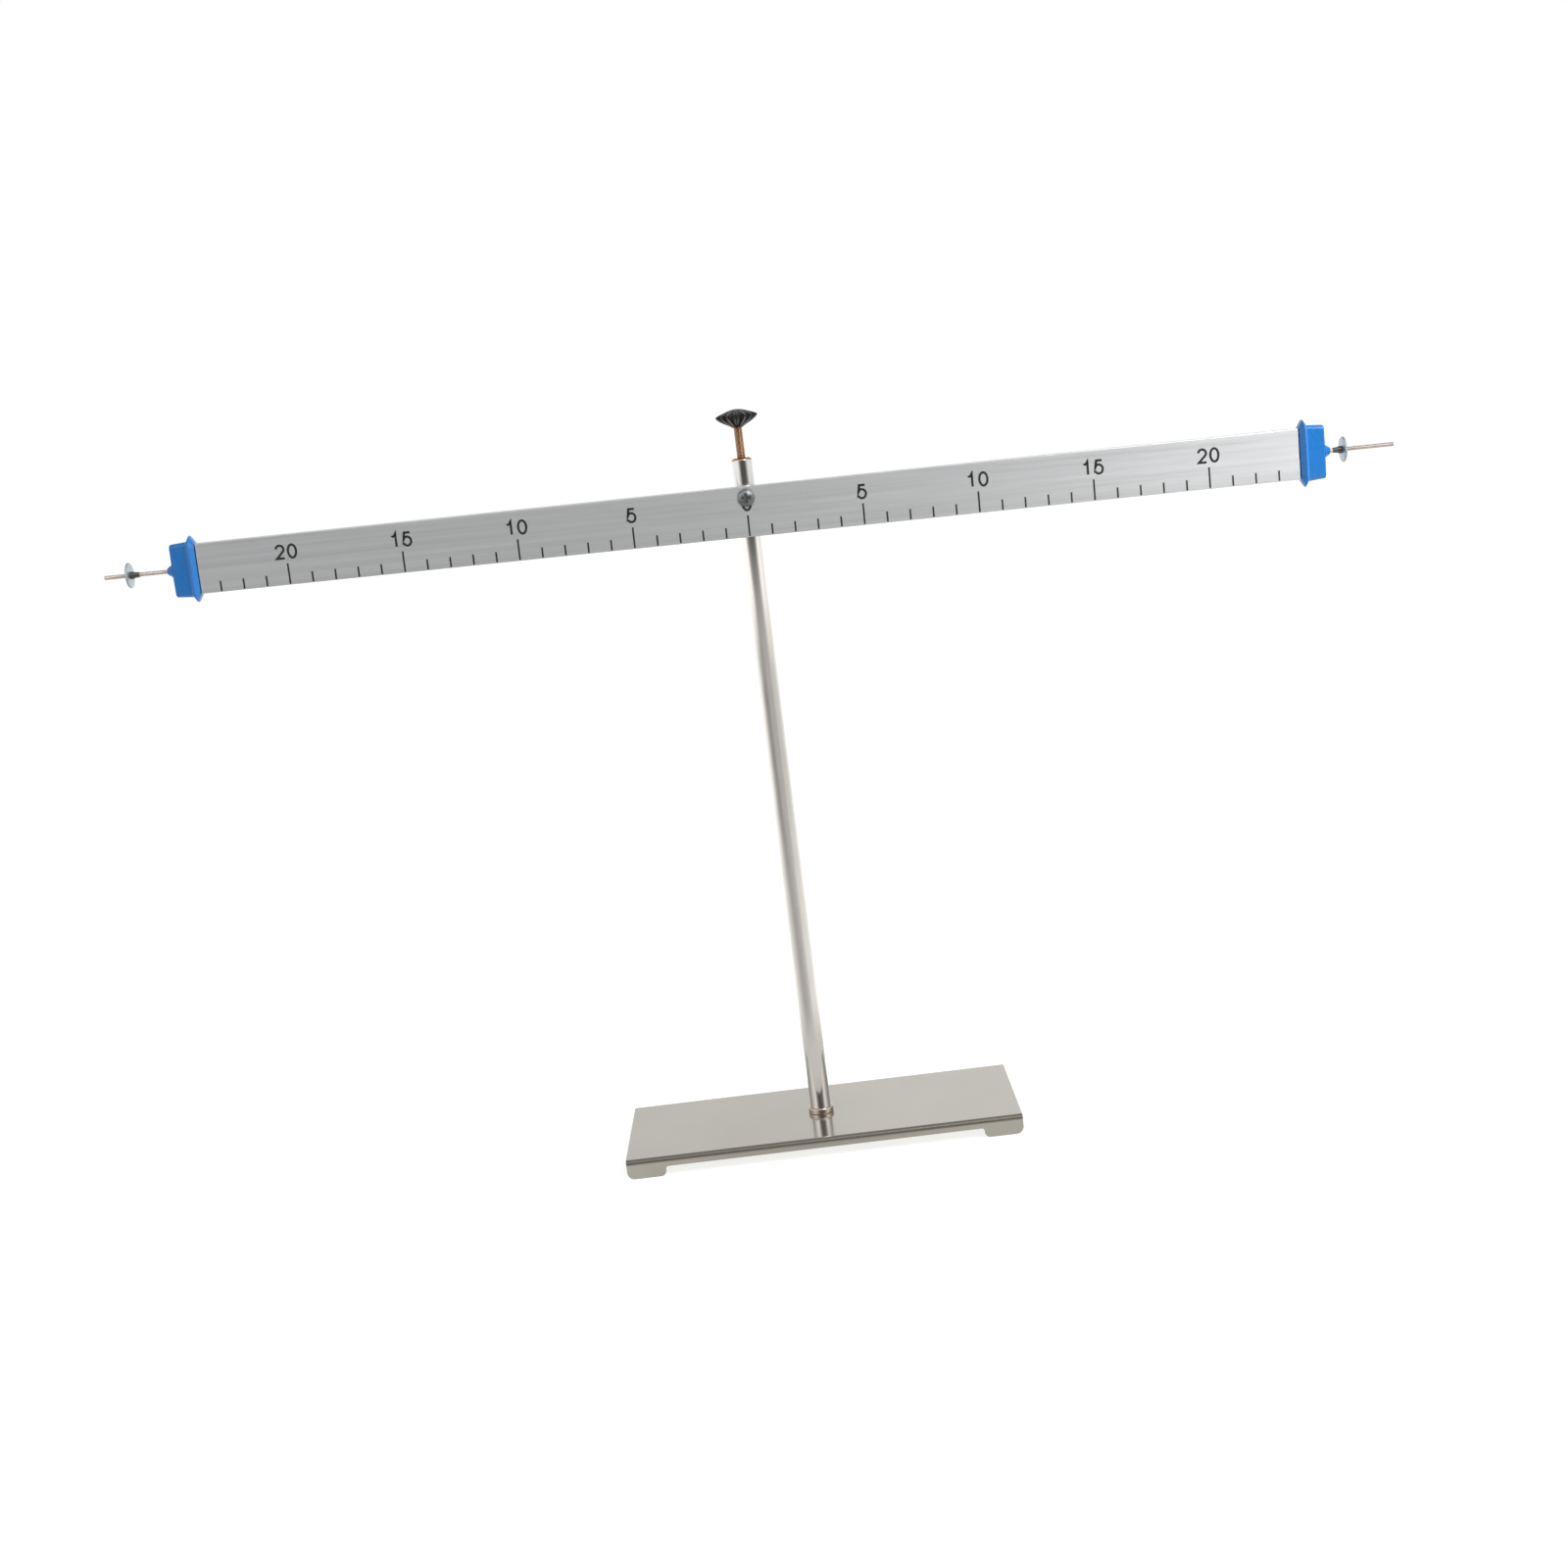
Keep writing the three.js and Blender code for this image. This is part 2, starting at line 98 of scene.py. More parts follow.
def endPlace(side):
    # height runs outward along the adjuster rod, from the end of the tube
    outward, reach = (1, tubeHigh[0]) if side == "right" else (-1, tubeLow[0])
    origin = pivot + reach * alongBeam + tubeMiddle[1] * toBack + tubeMiddle[2] * upBeam
    return placeFrom(origin, outward * toBack, upBeam, outward * alongBeam)


# Mesh making

def circleArc(centre, radius, start, stop, count):
    # points at a constant distance from a centre, from one angle to another
    angle = np.radians(np.linspace(start, stop, count))
    return np.stack([centre[0] + radius * np.cos(angle), centre[1] + radius * np.sin(angle)], axis=1)


def profileFrom(*stretches):
    # points and arcs one after another, as one profile
    return np.concatenate([np.atleast_2d(np.array(stretch, float)) for stretch in stretches])


def gridFaces(rows, columns, wrapRows=False):
    # four-sided faces between neighbours on a grid, closed round its columns and, where asked, its rows
    row = np.arange(rows if wrapRows else rows - 1)[:, None]
    column = np.arange(columns)[None, :]
    nextRow, nextColumn = (row + 1) % rows, (column + 1) % columns
    corners = [row * columns + column, row * columns + nextColumn,
               nextRow * columns + nextColumn, nextRow * columns + column]
    return np.stack(corners, axis=-1).reshape(-1, 4)


def gridPart(points, wrapRows=False):
    # a grid of points, row by row, as one list of points and the faces between them
    return points.reshape(-1, 3), gridFaces(points.shape[0], points.shape[1], wrapRows)


def roundAngles(sides):
    return np.arange(sides) * 2 * math.pi / sides


def ringPoints(radius, angle, height):
    # (r cos a, r sin a, h)
    return np.stack(np.broadcast_arrays(radius * np.cos(angle), radius * np.sin(angle), height), axis=-1)


def turned(profile, sides, radiusShift=None):
    # profile of (radius, height) carried round the height axis, where radiusShift may add to the radius
    # as a function of the angle and of the profile's radius
    angle, radius, height = roundAngles(sides), profile[:, :1], profile[:, 1:]
    if radiusShift is not None:
        radius = radius + radiusShift(angle, radius)
    points = ringPoints(radius, angle, height)
    wrapped = bool(np.allclose(profile[0], profile[-1]))
    return gridPart(points[:-1] if wrapped else points, wrapped)


def joined(parts):
    # several (points, faces) pairs as one
    points, faces, count = [], [], 0
    for partPoints, partFaces in parts:
        points.append(partPoints)
        faces.append(np.asarray(partFaces) + count)
        count += len(partPoints)
    return np.concatenate(points), np.concatenate(faces)


def addObject(name, data, place=standPlace):
    item = bpy.data.objects.new(name, data)
    item.matrix_world = Matrix(place.tolist())
    scene.collection.objects.link(item)
    return item


weld = 1e-7  # metres within which two points are one
bevelSettings = {"segments": 2, "angle": 50}


def makePiece(name, part, place, material, body, replaced=(), sharpAngle=32, edge=0):
    points, faces = part
    placed = (points @ place[:3, :3].T + place[:3, 3]) * mm
    mesh = bpy.data.meshes.new(name)
    mesh.from_pydata(placed.tolist(), [], faces.tolist())
    shell = bmesh.new()
    shell.from_mesh(mesh)
    bmesh.ops.remove_doubles(shell, verts=shell.verts, dist=weld)
    bmesh.ops.dissolve_degenerate(shell, edges=shell.edges, dist=weld)
    bmesh.ops.recalc_face_normals(shell, faces=shell.faces)
    shell.to_mesh(mesh)
    shell.free()
    mesh.shade_smooth()
    mesh.set_sharp_from_angle(angle=math.radians(sharpAngle))
    mesh.materials.append(material)
    piece = addObject(name, mesh)
    if edge > 0:
        bevel = piece.modifiers.new("edges", "BEVEL")
        bevel.width, bevel.segments = edge * mm, bevelSettings["segments"]
        bevel.limit_method, bevel.angle_limit = "ANGLE", math.radians(bevelSettings["angle"])
    # large faces keep their own direction, and only the roundings beside them bend it
    piece.modifiers.new("flat faces", "WEIGHTED_NORMAL").keep_sharp = True
    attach(piece, body)
    if replaced:
        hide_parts(*replaced)
    return piece


# Materials

def linear(code):
    # an sRGB hex colour as linear red, green, blue and alpha
    shares = [int(code[i:i + 2], 16) / 255 for i in (0, 2, 4)]
    return tuple(s / 12.92 if s <= 0.04045 else ((s + 0.055) / 1.055) ** 2.4 for s in shares) + (1,)


def addNode(tree, kind, inputs=(), **settings):
    # one node: settings are its options, and inputs are fixed values or other nodes' outputs,
    # listed in the order of its sockets or given by socket
    item = tree.nodes.new(kind)
    for name, value in settings.items():
        setattr(item, name, value)
    for socket, given in inputs.items() if isinstance(inputs, dict) else enumerate(inputs):
        if isinstance(given, bpy.types.NodeSocket):
            tree.links.new(given, item.inputs[socket])
        else:
            item.inputs[socket].default_value = given
    return item


def blankMaterial(name):
    material = bpy.data.materials.new(name)
    material.use_nodes = True
    material.node_tree.nodes.clear()
    return material, material.node_tree


middleRange = (0.3, 0.7)  # where most of a noise's values lie
wholeRange = (0, 1)

# a metal's values, where a finish doesn't give its own: shader values, relief in millimetres of its
# pattern, the part of the pattern over which the tone changes, and the noise's layers and the weight
# of the finer ones
usual = {"shader": {"Metallic": 1}, "relief": 0, "toneRange": wholeRange, "detail": 4, "fine": 0.55}


def patternPlace(tree, stretch=(1, 1, 1), turn=0):
    # object coordinates in millimetres, turned about Y and drawn out along the long directions
    coordinates = addNode(tree, "ShaderNodeTexCoord").outputs["Object"]
    straight = addNode(tree, "ShaderNodeMapping", {"Vector": coordinates, "Rotation": (0, turn, 0)})
    scale = tuple(1 / mm / s for s in stretch)
    return addNode(tree, "ShaderNodeMapping", {"Vector": straight.outputs[0], "Scale": scale}).outputs[0]


def pattern(tree, size, detail=usual["detail"], fine=usual["fine"], **drawn):
    # noise whose spots are about size millimetres wide
    return addNode(tree, "ShaderNodeTexNoise", {"Vector": patternPlace(tree, **drawn), "Scale": 1 / size,
                                                "Detail": detail, "Roughness": fine}).outputs["Fac"]


def toned(tree, finish, toneBy, glossBy):
    # colour between the finish's two tones by one pattern, and roughness between its two values by another;
    # sockets 0, 6 and 7 of a colour mix are its factor and its two colours, and 2 is its result
    share = addNode(tree, "ShaderNodeMapRange", [toneBy, *finish["toneRange"], *wholeRange]).outputs[0]
    dark, light = linear(finish["dark"]), linear(finish["light"])
    colour = addNode(tree, "ShaderNodeMix", {0: share, 6: dark, 7: light}, data_type="RGBA")
    roughness = addNode(tree, "ShaderNodeMapRange", [glossBy, *middleRange, *finish["roughness"]])
    return colour.outputs[2], roughness.outputs[0]


def shaded(tree, finish, colour, roughness, height, **links):
    # the finish's fixed shader values, with its relief in millimetres by the height of a pattern
    inputs = {"Base Color": colour, "Roughness": roughness, **finish["shader"], **links}
    if finish["relief"] > 0:
        relief = {"Strength": 1, "Distance": finish["relief"] * mm, "Height": height}
        inputs["Normal"] = addNode(tree, "ShaderNodeBump", relief).outputs["Normal"]
    shader = addNode(tree, "ShaderNodeBsdfPrincipled", inputs)
    addNode(tree, "ShaderNodeOutputMaterial", {"Surface": shader.outputs["BSDF"]})


def speckled(finish):
    # a finish whose tone, gloss and relief all follow one fine pattern
    material, tree = blankMaterial(finish["name"])
    cloud = pattern(tree, finish["grain"], finish["detail"], finish["fine"])
    shaded(tree, finish, *toned(tree, finish, cloud, cloud), cloud)
    return material


# the bends' dark tone is painted shade, standing in for the dark room that the rounded bends mirror
satinNickel = {**usual, "name": "satin_nickel_plate", "light": "bab6ae", "dark": "b0aca4",
               "roughness": (0.11, 0.16), "cloudSize": 30, "scratchSize": 9, "scratchRun": 5,
               "scratchDetail": 2, "scratchWidth": 0.004, "scratchDull": 0.10, "bendShade": "736e67",
               "bendDull": 0.3, "bendAcross": (34.8, 35.6), "bendHeight": (6.3, 7.2)}


def satinNickelPlate(finish):
    # bright nickel on rolled sheet: nearly a mirror, greyer than chrome, with fine handling scratches,
    # duller along the bends, and darker there by painted shade that stands in for the dark room they mirror
    material, tree = blankMaterial(finish["name"])
    clouds = pattern(tree, finish["cloudSize"])
    flat, base = toned(tree, finish, clouds, clouds)
    # a scratch lies where a noise drawn out along the base passes its middle value
    drawn = pattern(tree, finish["scratchSize"], finish["scratchDetail"],
                    stretch=(finish["scratchRun"], 1, 1))
    offset = addNode(tree, "ShaderNodeMath", [drawn, 0.5], operation="SUBTRACT").outputs[0]
    distance = addNode(tree, "ShaderNodeMath", [offset], operation="ABSOLUTE").outputs[0]
    scratches = addNode(tree, "ShaderNodeMapRange",
                        [distance, 0, finish["scratchWidth"], finish["scratchDull"], 0]).outputs[0]
    scratched = addNode(tree, "ShaderNodeMath", [base, scratches], operation="ADD").outputs[0]
    # a bend lies above one height and outside one distance from the middle, and both start gradually
    place = addNode(tree, "ShaderNodeSeparateXYZ", [patternPlace(tree)]).outputs
    across = addNode(tree, "ShaderNodeMath", [place["Y"]], operation="ABSOLUTE").outputs[0]
    outer = addNode(tree, "ShaderNodeMapRange", [across, *finish["bendAcross"], *wholeRange]).outputs[0]
    above = addNode(tree, "ShaderNodeMapRange", [place["Z"], *finish["bendHeight"], *wholeRange]).outputs[0]
    bend = addNode(tree, "ShaderNodeMath", [outer, above], operation="MULTIPLY").outputs[0]
    # painted shade: the bends take the dark tone, as if mirroring the dark room in front
    colour = addNode(tree, "ShaderNodeMix", {0: bend, 6: flat, 7: linear(finish["bendShade"])},
                     data_type="RGBA").outputs[2]
    roughness = addNode(tree, "ShaderNodeMath", [bend, finish["bendDull"], scratched],
                        operation="MULTIPLY_ADD").outputs[0]
    shaded(tree, finish, colour, roughness, None)
    return material


# the brownish tone at the mouth is a painted reflection of the brass thumb screw in the chamfer
chromeRod = {**usual, "name": "chromed_drawn_bar", "light": "d6d4d2", "dark": "c4c1be",
             "roughness": (0.05, 0.12), "relief": 0.001, "drawSize": 0.7, "drawDetail": 3, "drawRun": 60,
             "pitSize": 3, "pitRun": 4, "brassReflection": "b59a7e", "reflectionBelowTop": (1.5, 0.8)}


def drawnChrome(finish):
    # chrome on drawn bar: a mirror with faint lines along the bar and a few dull spots,
    # and brownish at its mouth, by a painted reflection of the thumb screw's brass
    material, tree = blankMaterial(finish["name"])
    lines = pattern(tree, finish["drawSize"], finish["drawDetail"], stretch=(1, 1, finish["drawRun"]))
    spots = pattern(tree, finish["pitSize"], stretch=(1, 1, finish["pitRun"]))
    clean, roughness = toned(tree, finish, spots, spots)
    # painted reflection: the bar turns brownish just below its top, where its chamfer mirrors the brass
    # screw
    top = reach("stand_rod", standPlace)[2]
    brassReflection = [top - below for below in finish["reflectionBelowTop"]]
    height = addNode(tree, "ShaderNodeSeparateXYZ", [patternPlace(tree)]).outputs["Z"]
    mouth = addNode(tree, "ShaderNodeMapRange", [height, *brassReflection, *wholeRange]).outputs[0]
    colour = addNode(tree, "ShaderNodeMix", {0: mouth, 6: clean, 7: linear(finish["brassReflection"])},
                     data_type="RGBA").outputs[2]
    shaded(tree, finish, colour, roughness, lines)
    return material


aluminium = {"name": "brushed_anodised_aluminium", "light": "e4e6e8", "dark": "d2d4d6",
             "toneRange": middleRange, "roughness": (0.36, 0.46), "relief": 0.004,
             "shader": {"Metallic": 1, "Anisotropic": 0.8}, "grainWidth": 0.5, "grainRun": 90,
             "grainDetail": 3, "streakWidth": 2.4, "streakRun": 160, "streakDetail": 4, "streakFine": 0.6}


def brushedAluminium(finish):
    # extruded aluminium brushed along its length and clear anodised: a soft sheen with long fine streaks;
    # real grain is near 0.1 mm wide, and is drawn coarser so that it shows
    material, tree = blankMaterial(finish["name"])
    grain = pattern(tree, finish["grainWidth"], finish["grainDetail"],
                    stretch=(finish["grainRun"], 1, 1), turn=-restTilt)
    streaks = pattern(tree, finish["streakWidth"], finish["streakDetail"], finish["streakFine"],
                      stretch=(finish["streakRun"], 1, 1), turn=-restTilt)
    upwards = addNode(tree, "ShaderNodeTangent", direction_type="UV_MAP", uv_map="grain").outputs["Tangent"]
    shaded(tree, finish, *toned(tree, finish, streaks, grain), grain, Tangent=upwards)
    return material


blueResin = {"name": "moulded_blue_polyethylene", "light": "0d64aa", "dark": "0c5fa2",
             "toneRange": wholeRange, "roughness": (0.24, 0.32), "relief": 0.004,
             "shader": {"Subsurface Weight": 0.06, "Subsurface Scale": 0.001}, "grain": 0.35,
             "grainDetail": 2, "cloudSize": 7, "cloudDetail": 3}


def mouldedBluePolyethylene(finish):
    # injection moulded polyethylene: even strong blue with a soft gloss and a faint moulded texture
    material, tree = blankMaterial(finish["name"])
    fine = pattern(tree, finish["grain"], finish["grainDetail"])
    cloud = pattern(tree, finish["cloudSize"], finish["cloudDetail"])
    shaded(tree, finish, *toned(tree, finish, cloud, cloud), fine)
    return material


# zinc plate with a clear passivation on turned parts: satin, faintly blue
zincPlate = {**usual, "name": "blue_passivated_zinc", "light": "c2cace", "dark": "9ea7ac",
             "roughness": (0.24, 0.36), "relief": 0.003, "grain": 0.5}
discPlate = {**zincPlate, "name": "matt_zinc_on_turned_disc", "light": "bcc5c9", "dark": "98a2a7",
             "roughness": (0.42, 0.52)}
# plated turned parts gone dull with handling: dark in the hollows, with brighter worn spots
screwSteel = {**usual, "name": "tarnished_screw_steel", "light": "8f9191", "dark": "565859",
              "toneRange": middleRange, "roughness": (0.3, 0.45), "relief": 0.01, "grain": 0.8, "detail": 5,
              "fine": 0.65}
# the hub is dark grey all over, far darker than the disc it sits in
hubPlate = {**screwSteel, "name": "dark_grey_nickel_on_brass", "light": "7c7a76", "dark": "4e4c48",
            "grain": 0.7}
collarPlate = {**screwSteel, "name": "browned_nickel_ring", "light": "c9beb2", "dark": "a4968a",
               "roughness": (0.12, 0.2), "grain": 1.2}
# red brass screws, rubbed and slightly browned: warm, half glossy
copperBrass = {**usual, "name": "aged_red_brass", "light": "a98a70", "dark": "7c5c45",
               "toneRange": middleRange, "roughness": (0.22, 0.34), "relief": 0.004, "grain": 0.8}
# thin brass rods with worn nickel plate: pale, with warmer spots where the plate has gone
paleBrass = {**copperBrass, "name": "worn_nickel_on_brass", "light": "d0c9c2", "dark": "bab1a8",
             "roughness": (0.3, 0.42), "relief": 0, "grain": 1.5}
# compression moulded black phenolic: deep black, glossy on the ribs
blackResin = {**usual, "name": "black_phenolic", "light": "0a0a0a", "dark": "050505",
              "roughness": (0.26, 0.36), "relief": 0.006, "shader": {"IOR": 1.33}, "grain": 0.4,
              "detail": 3}
# black screen-printed ink: thin, matt, slightly uneven cover
scaleInk = {**blackResin, "name": "black_screen_ink", "light": "1c1d1f", "dark": "131416",
            "roughness": (0.38, 0.5), "relief": 0.002, "shader": {"IOR": 1.55}, "grain": 0.25}

nickel = satinNickelPlate(satinNickel)
chrome = drawnChrome(chromeRod)
alloy = brushedAluminium(aluminium)
blue = mouldedBluePolyethylene(blueResin)
zinc, discZinc = speckled(zincPlate), speckled(discPlate)
steel, hubMetal, collarMetal = speckled(screwSteel), speckled(hubPlate), speckled(collarPlate)
brass, rodPlate = speckled(copperBrass), speckled(paleBrass)
black, ink = speckled(blackResin), speckled(scaleInk)
print("materials made")


# Base: bent sheet on four tabs

base = {"sheet": 1.2, "bendRadius": 1.8, "flangeDepth": 4.4, "footLength": 17.5, "footCorner": 3.4,
        "footInner": 2.6, "rootFillet": 1.2, "edge": 0.14, "arcSteps": 8, "acrossSteps": 24,
        "lengthSteps": 12, "leastStep": 1e-4}


def baseLowerEdge():
    # x stations along one half, from the middle outwards, and the height of the flange's lower edge there:
    # level between the tabs, then a small fillet, the tab's inner corner, its flat foot and its outer corner
    end, _, top = extent("base_channel", standPlace)[1]
    recess, foot, steps = top - base["flangeDepth"], end - base["footLength"], base["arcSteps"]
    root, innerRadius, cornerRadius = base["rootFillet"], base["footInner"], base["footCorner"]
    middle = np.stack([np.linspace(0, foot - root, base["lengthSteps"]),
                       np.full(base["lengthSteps"], recess)], axis=1)
    fillet = circleArc((foot - root, recess - root), root, 90, 0, steps)
    inner = circleArc((foot + innerRadius, innerRadius), innerRadius, 180, 270, steps)
    outer = circleArc((end - cornerRadius, cornerRadius), cornerRadius, -90, 0, steps)
    return profileFrom(middle[:-1], fillet, inner, outer)


def baseSheet():
    # the sheet's section, developed from one flange over the top to the other, at every x station:
    # outer skin and inner skin are the same curve at two distances, and strips close the edges and ends
    _, half, top = extent("base_channel", standPlace)[1]
    bend, stations = base["bendRadius"], baseLowerEdge()
    # stations whose x doesn't grow would fold the grid
    stations = stations[np.diff(stations[:, 0], prepend=-1) > base["leastStep"]]
    stations = np.concatenate([stations[:0:-1] * [-1, 1], stations])

    def skin(inset):
        bendArc = circleArc((half - bend, top - bend), bend - inset, 0, 90, base["arcSteps"])
        across = np.linspace(half - bend, bend - half, base["acrossSteps"])[1:-1]
        flat = np.stack([across, np.full(across.size, top - inset)], axis=1)
        curve = np.concatenate([bendArc, flat, bendArc[::-1] * [-1, 1]])
        points = np.empty((len(stations), len(curve) + 2, 3))
        points[:, :, 0] = stations[:, :1]
        points[:, 1:-1, 1:] = curve
        points[:, 0, 1], points[:, -1, 1] = half - inset, inset - half
        points[:, 0, 2] = points[:, -1, 2] = stations[:, 1]
        return points

    ring = np.concatenate([skin(0), skin(base["sheet"])[:, ::-1]], axis=1)
    rows, columns = ring.shape[:2]
    faces = gridFaces(rows, columns)
    column = np.arange(columns // 2 - 1)
    strip = np.stack([column, column + 1, columns - 2 - column, columns - 1 - column], axis=1)
    lastRow = (rows - 1) * columns
    faces = np.concatenate([faces, strip, strip[:, ::-1] + lastRow])
    return ring.reshape(-1, 3), faces


makePiece("base_bent_sheet", baseSheet(), standPlace, nickel, "stand",
          ["base_channel"], sharpAngle=40, edge=base["edge"])


# Stand rod, collar and what holds them under the sheet

rod = {"chamfer": 1.0, "spigotRadius": 3.0, "spigotChamfer": 0.5, "bore": 1.98, "edge": 0.25, "sides": 128,
       "lengthSteps": 40}


def standRod():
    # profile from the spigot's end up the bar, over its chamfered top and down the tapped bore
    radius, foot, top = reach("stand_rod", standPlace)
    seat = reach("base_collar", standPlace)[1]
    spigot, blunt, bore, edge = rod["spigotRadius"], rod["spigotChamfer"], rod["bore"], rod["edge"]
    chamferFoot, chamferTop = top - rod["chamfer"], radius - rod["chamfer"]
    straight = np.linspace(seat + edge, chamferFoot - edge, rod["lengthSteps"])
    return turned(profileFrom(
        (0, foot), (spigot - blunt, foot), (spigot, foot + blunt), (spigot, seat),
        (radius - edge, seat), np.stack([np.full(straight.size, radius), straight], axis=1),
        (radius - edge, chamferFoot + edge), (chamferTop + edge, top - edge), (chamferTop - edge, top),
        (bore, top), (bore, pivot[2]), (0, pivot[2])), rod["sides"])


makePiece("stand_rod_bar", standRod(), standPlace, chrome, "stand", ["stand_rod"])

collar = {"bore": 4.75, "lowEdge": 0.3, "highEdge": 0.7, "sides": 96, "arcSteps": 7}


def rodCollar():
    # straight-sided ring that stands on the sheet, rounded a little below and more above
    radius, _, top = reach("base_collar", standPlace)
    foot = reach("base_channel", standPlace)[2]
    bore, lowEdge, highEdge, steps = (collar[name] for name in ("bore", "lowEdge", "highEdge", "arcSteps"))
    return turned(profileFrom(
        (bore, foot), circleArc((radius - lowEdge, foot + lowEdge), lowEdge, -90, 0, steps),
        circleArc((radius - highEdge, top - highEdge), highEdge, 0, 90, steps),
        (bore, top), (bore, foot)), collar["sides"])


makePiece("rod_collar_ring", rodCollar(), standPlace, collarMetal, "stand",
          ["base_collar"])

hexNut = {"chamferAngle": 30, "chamferShare": 0.97, "chamferRows": 6, "leadShare": 0.12, "flatSteps": 24}


def hexNutPart(node, place, bore):
    # radius at an angle is the smaller of a hexagon and of two chamfer cones that cut its corners
    flat, low, high = reach(node, place)
    angle, slope = roundAngles(6 * hexNut["flatSteps"]), math.tan(math.radians(hexNut["chamferAngle"]))
    coneFoot = flat * hexNut["chamferShare"]
    drops = (2 * flat / math.sqrt(3) - coneFoot) * slope * np.linspace(0, 1, hexNut["chamferRows"])
    heights = np.concatenate([low + drops, high - drops[::-1]])
    hexagon = flat / np.cos((angle + math.pi / 6) % (math.pi / 3) - math.pi / 6)
    cone = coneFoot + np.minimum(heights - low, high - heights) / slope
    lead = bore * hexNut["leadShare"]
    inside = np.array([[bore + lead], [bore + lead], [bore], [bore]]) * np.ones(angle.size)
    radius = np.concatenate([inside[:1], np.minimum(hexagon[None, :], cone[:, None]), inside[1:]])
    height = np.concatenate([[low], heights, [high, high - lead, low + lead]])
    return gridPart(ringPoints(radius, angle, height[:, None]), wrapRows=True)


washer = {"gap": 0.1, "edge": 0.15, "pivotBore": 1.9, "pivotEdge": 0.08, "sides": 72}


def washerPart(node, place, bore, edge):
    # flat ring with its outer edges eased
    radius, foot, top = reach(node, place)
    return turned(profileFrom(
        (bore, foot), (radius - edge, foot), (radius, foot + edge), (radius, top - edge),
        (radius - edge, top), (bore, top), (bore, foot)), washer["sides"])


spigotBore = rod["spigotRadius"] + washer["gap"]
makePiece("base_hex_nut", hexNutPart("base_nut", standPlace, spigotBore), standPlace, zinc, "stand",
          ["base_nut"])
makePiece("base_flat_washer", washerPart("base_washer", standPlace, spigotBore, washer["edge"]), standPlace,
          zinc, "stand", ["base_washer"])
print("stand made")


# Threads

def threadPart(screw, node, place):
    # radius falls and rises once a turn along the rod: r = R - d (1 - cos(2 pi h / pitch - a)) / 2,
    # plain below the thread's start, and kept under a cone at both ends
    _, low, high = reach(node, place)
    start, pitch, chamfer = screw.get("start", low), screw["pitch"], screw["chamfer"]
    turns = np.linspace(start, high, int((high - start) / pitch * screw["perTurn"]))
    heights = np.concatenate([[low, low + chamfer], turns, [high - chamfer, high]])
    heights = np.unique(np.clip(heights, low, high))[:, None]
    angle = roundAngles(screw["sides"])
    ease = np.clip(np.minimum(heights - start, high - heights) / pitch + 1, 0, 1)
    wave = (1 - np.cos(2 * math.pi * heights / pitch - angle)) / 2
    cone = screw["radius"] - chamfer + np.minimum(heights - low, high - heights)
    surface = np.minimum(screw["radius"] - screw["depth"] * ease * wave, cone)
    closed = ((1, 1), (0, 0))  # one more row at each end, where the radius is zero
    return gridPart(ringPoints(np.pad(surface, closed), angle, np.pad(heights, closed, mode="edge")))


# Pivot: pin with a domed cross-recessed head, washer and flanged bush

pin = {"shank": 1.8, "headGap": 0.2, "headEdge": 0.7, "domePower": 2.4, "rimRound": 0.12, "sideShare": 0.8,
       "underEdge": 0.15, "recessArm": 1.9, "recessWidth": 0.5, "armTaper": 0.25, "recessDepth": 0.8,
       "floorRise": 0.3, "recessCore": 0.75, "wallSlope": 0.12, "armSlope": 0.3, "coreSlope": 0.2,
       "tailChamfer": 0.4, "rows": 26, "rowPower": 0.8, "sides": 160}


def pivotPin():
    # dome h = edge + rise (1 - (r / R)^p), sunk inside a cross whose arms taper outward
    radius, tail, front = reach("pivot_pin", pivotPlace)
    rear = reach("beam_tube", pivotPlace)[2] + pin["headGap"]
    edge, angle = rear + pin["headEdge"], roundAngles(pin["sides"])
    r = (np.linspace(0, 1, pin["rows"]) ** pin["rowPower"] * (radius - pin["rimRound"]))[:, None]
    dome = edge + (front - edge) * (1 - (r / radius) ** pin["domePower"])
    x, y = np.abs(r * np.cos(angle)), np.abs(r * np.sin(angle))
    along, across = np.maximum(x, y), np.minimum(x, y)

    def within(distance, slope):
        # 1 inside a line and 0 outside it, along a ramp as wide as the recess's slope there
        return np.clip(distance / slope + 0.5, 0, 1)

    width = pin["recessWidth"] * (1 - pin["armTaper"] * along / pin["recessArm"])
    arms = within(width - across, pin["wallSlope"]) * within(pin["recessArm"] - along, pin["armSlope"])
    cross = np.maximum(arms, within(pin["recessCore"] - np.hypot(x, y), pin["coreSlope"]))
    depth = pin["recessDepth"] * (1 - pin["floorRise"] * along / pin["recessArm"])
    shank, blunt, under = pin["shank"], pin["tailChamfer"], pin["underEdge"]
    side = profileFrom((radius, rear + pin["headEdge"] * pin["sideShare"]), (radius, rear + under),
                       (radius - under, rear), (shank, rear), (shank, tail + blunt), (shank - blunt, tail),
                       (0, tail))
    return gridPart(np.concatenate([ringPoints(r, angle, dome - cross * depth),
                                    ringPoints(side[:, :1], angle, side[:, 1:])]))


makePiece("pivot_pan_screw", pivotPin(), pivotPlace, steel, "stand", ["pivot_pin"])
pivotWasher = washerPart("pivot_washer", pivotPlace, washer["pivotBore"], washer["pivotEdge"])
makePiece("pivot_thin_washer", pivotWasher, pivotPlace, zinc, "stand",
          ["pivot_washer"])

bush = {"bore": 1.95, "barrel": 2.85, "shoulderGap": 0.25, "edge": 0.12, "sides": 72}


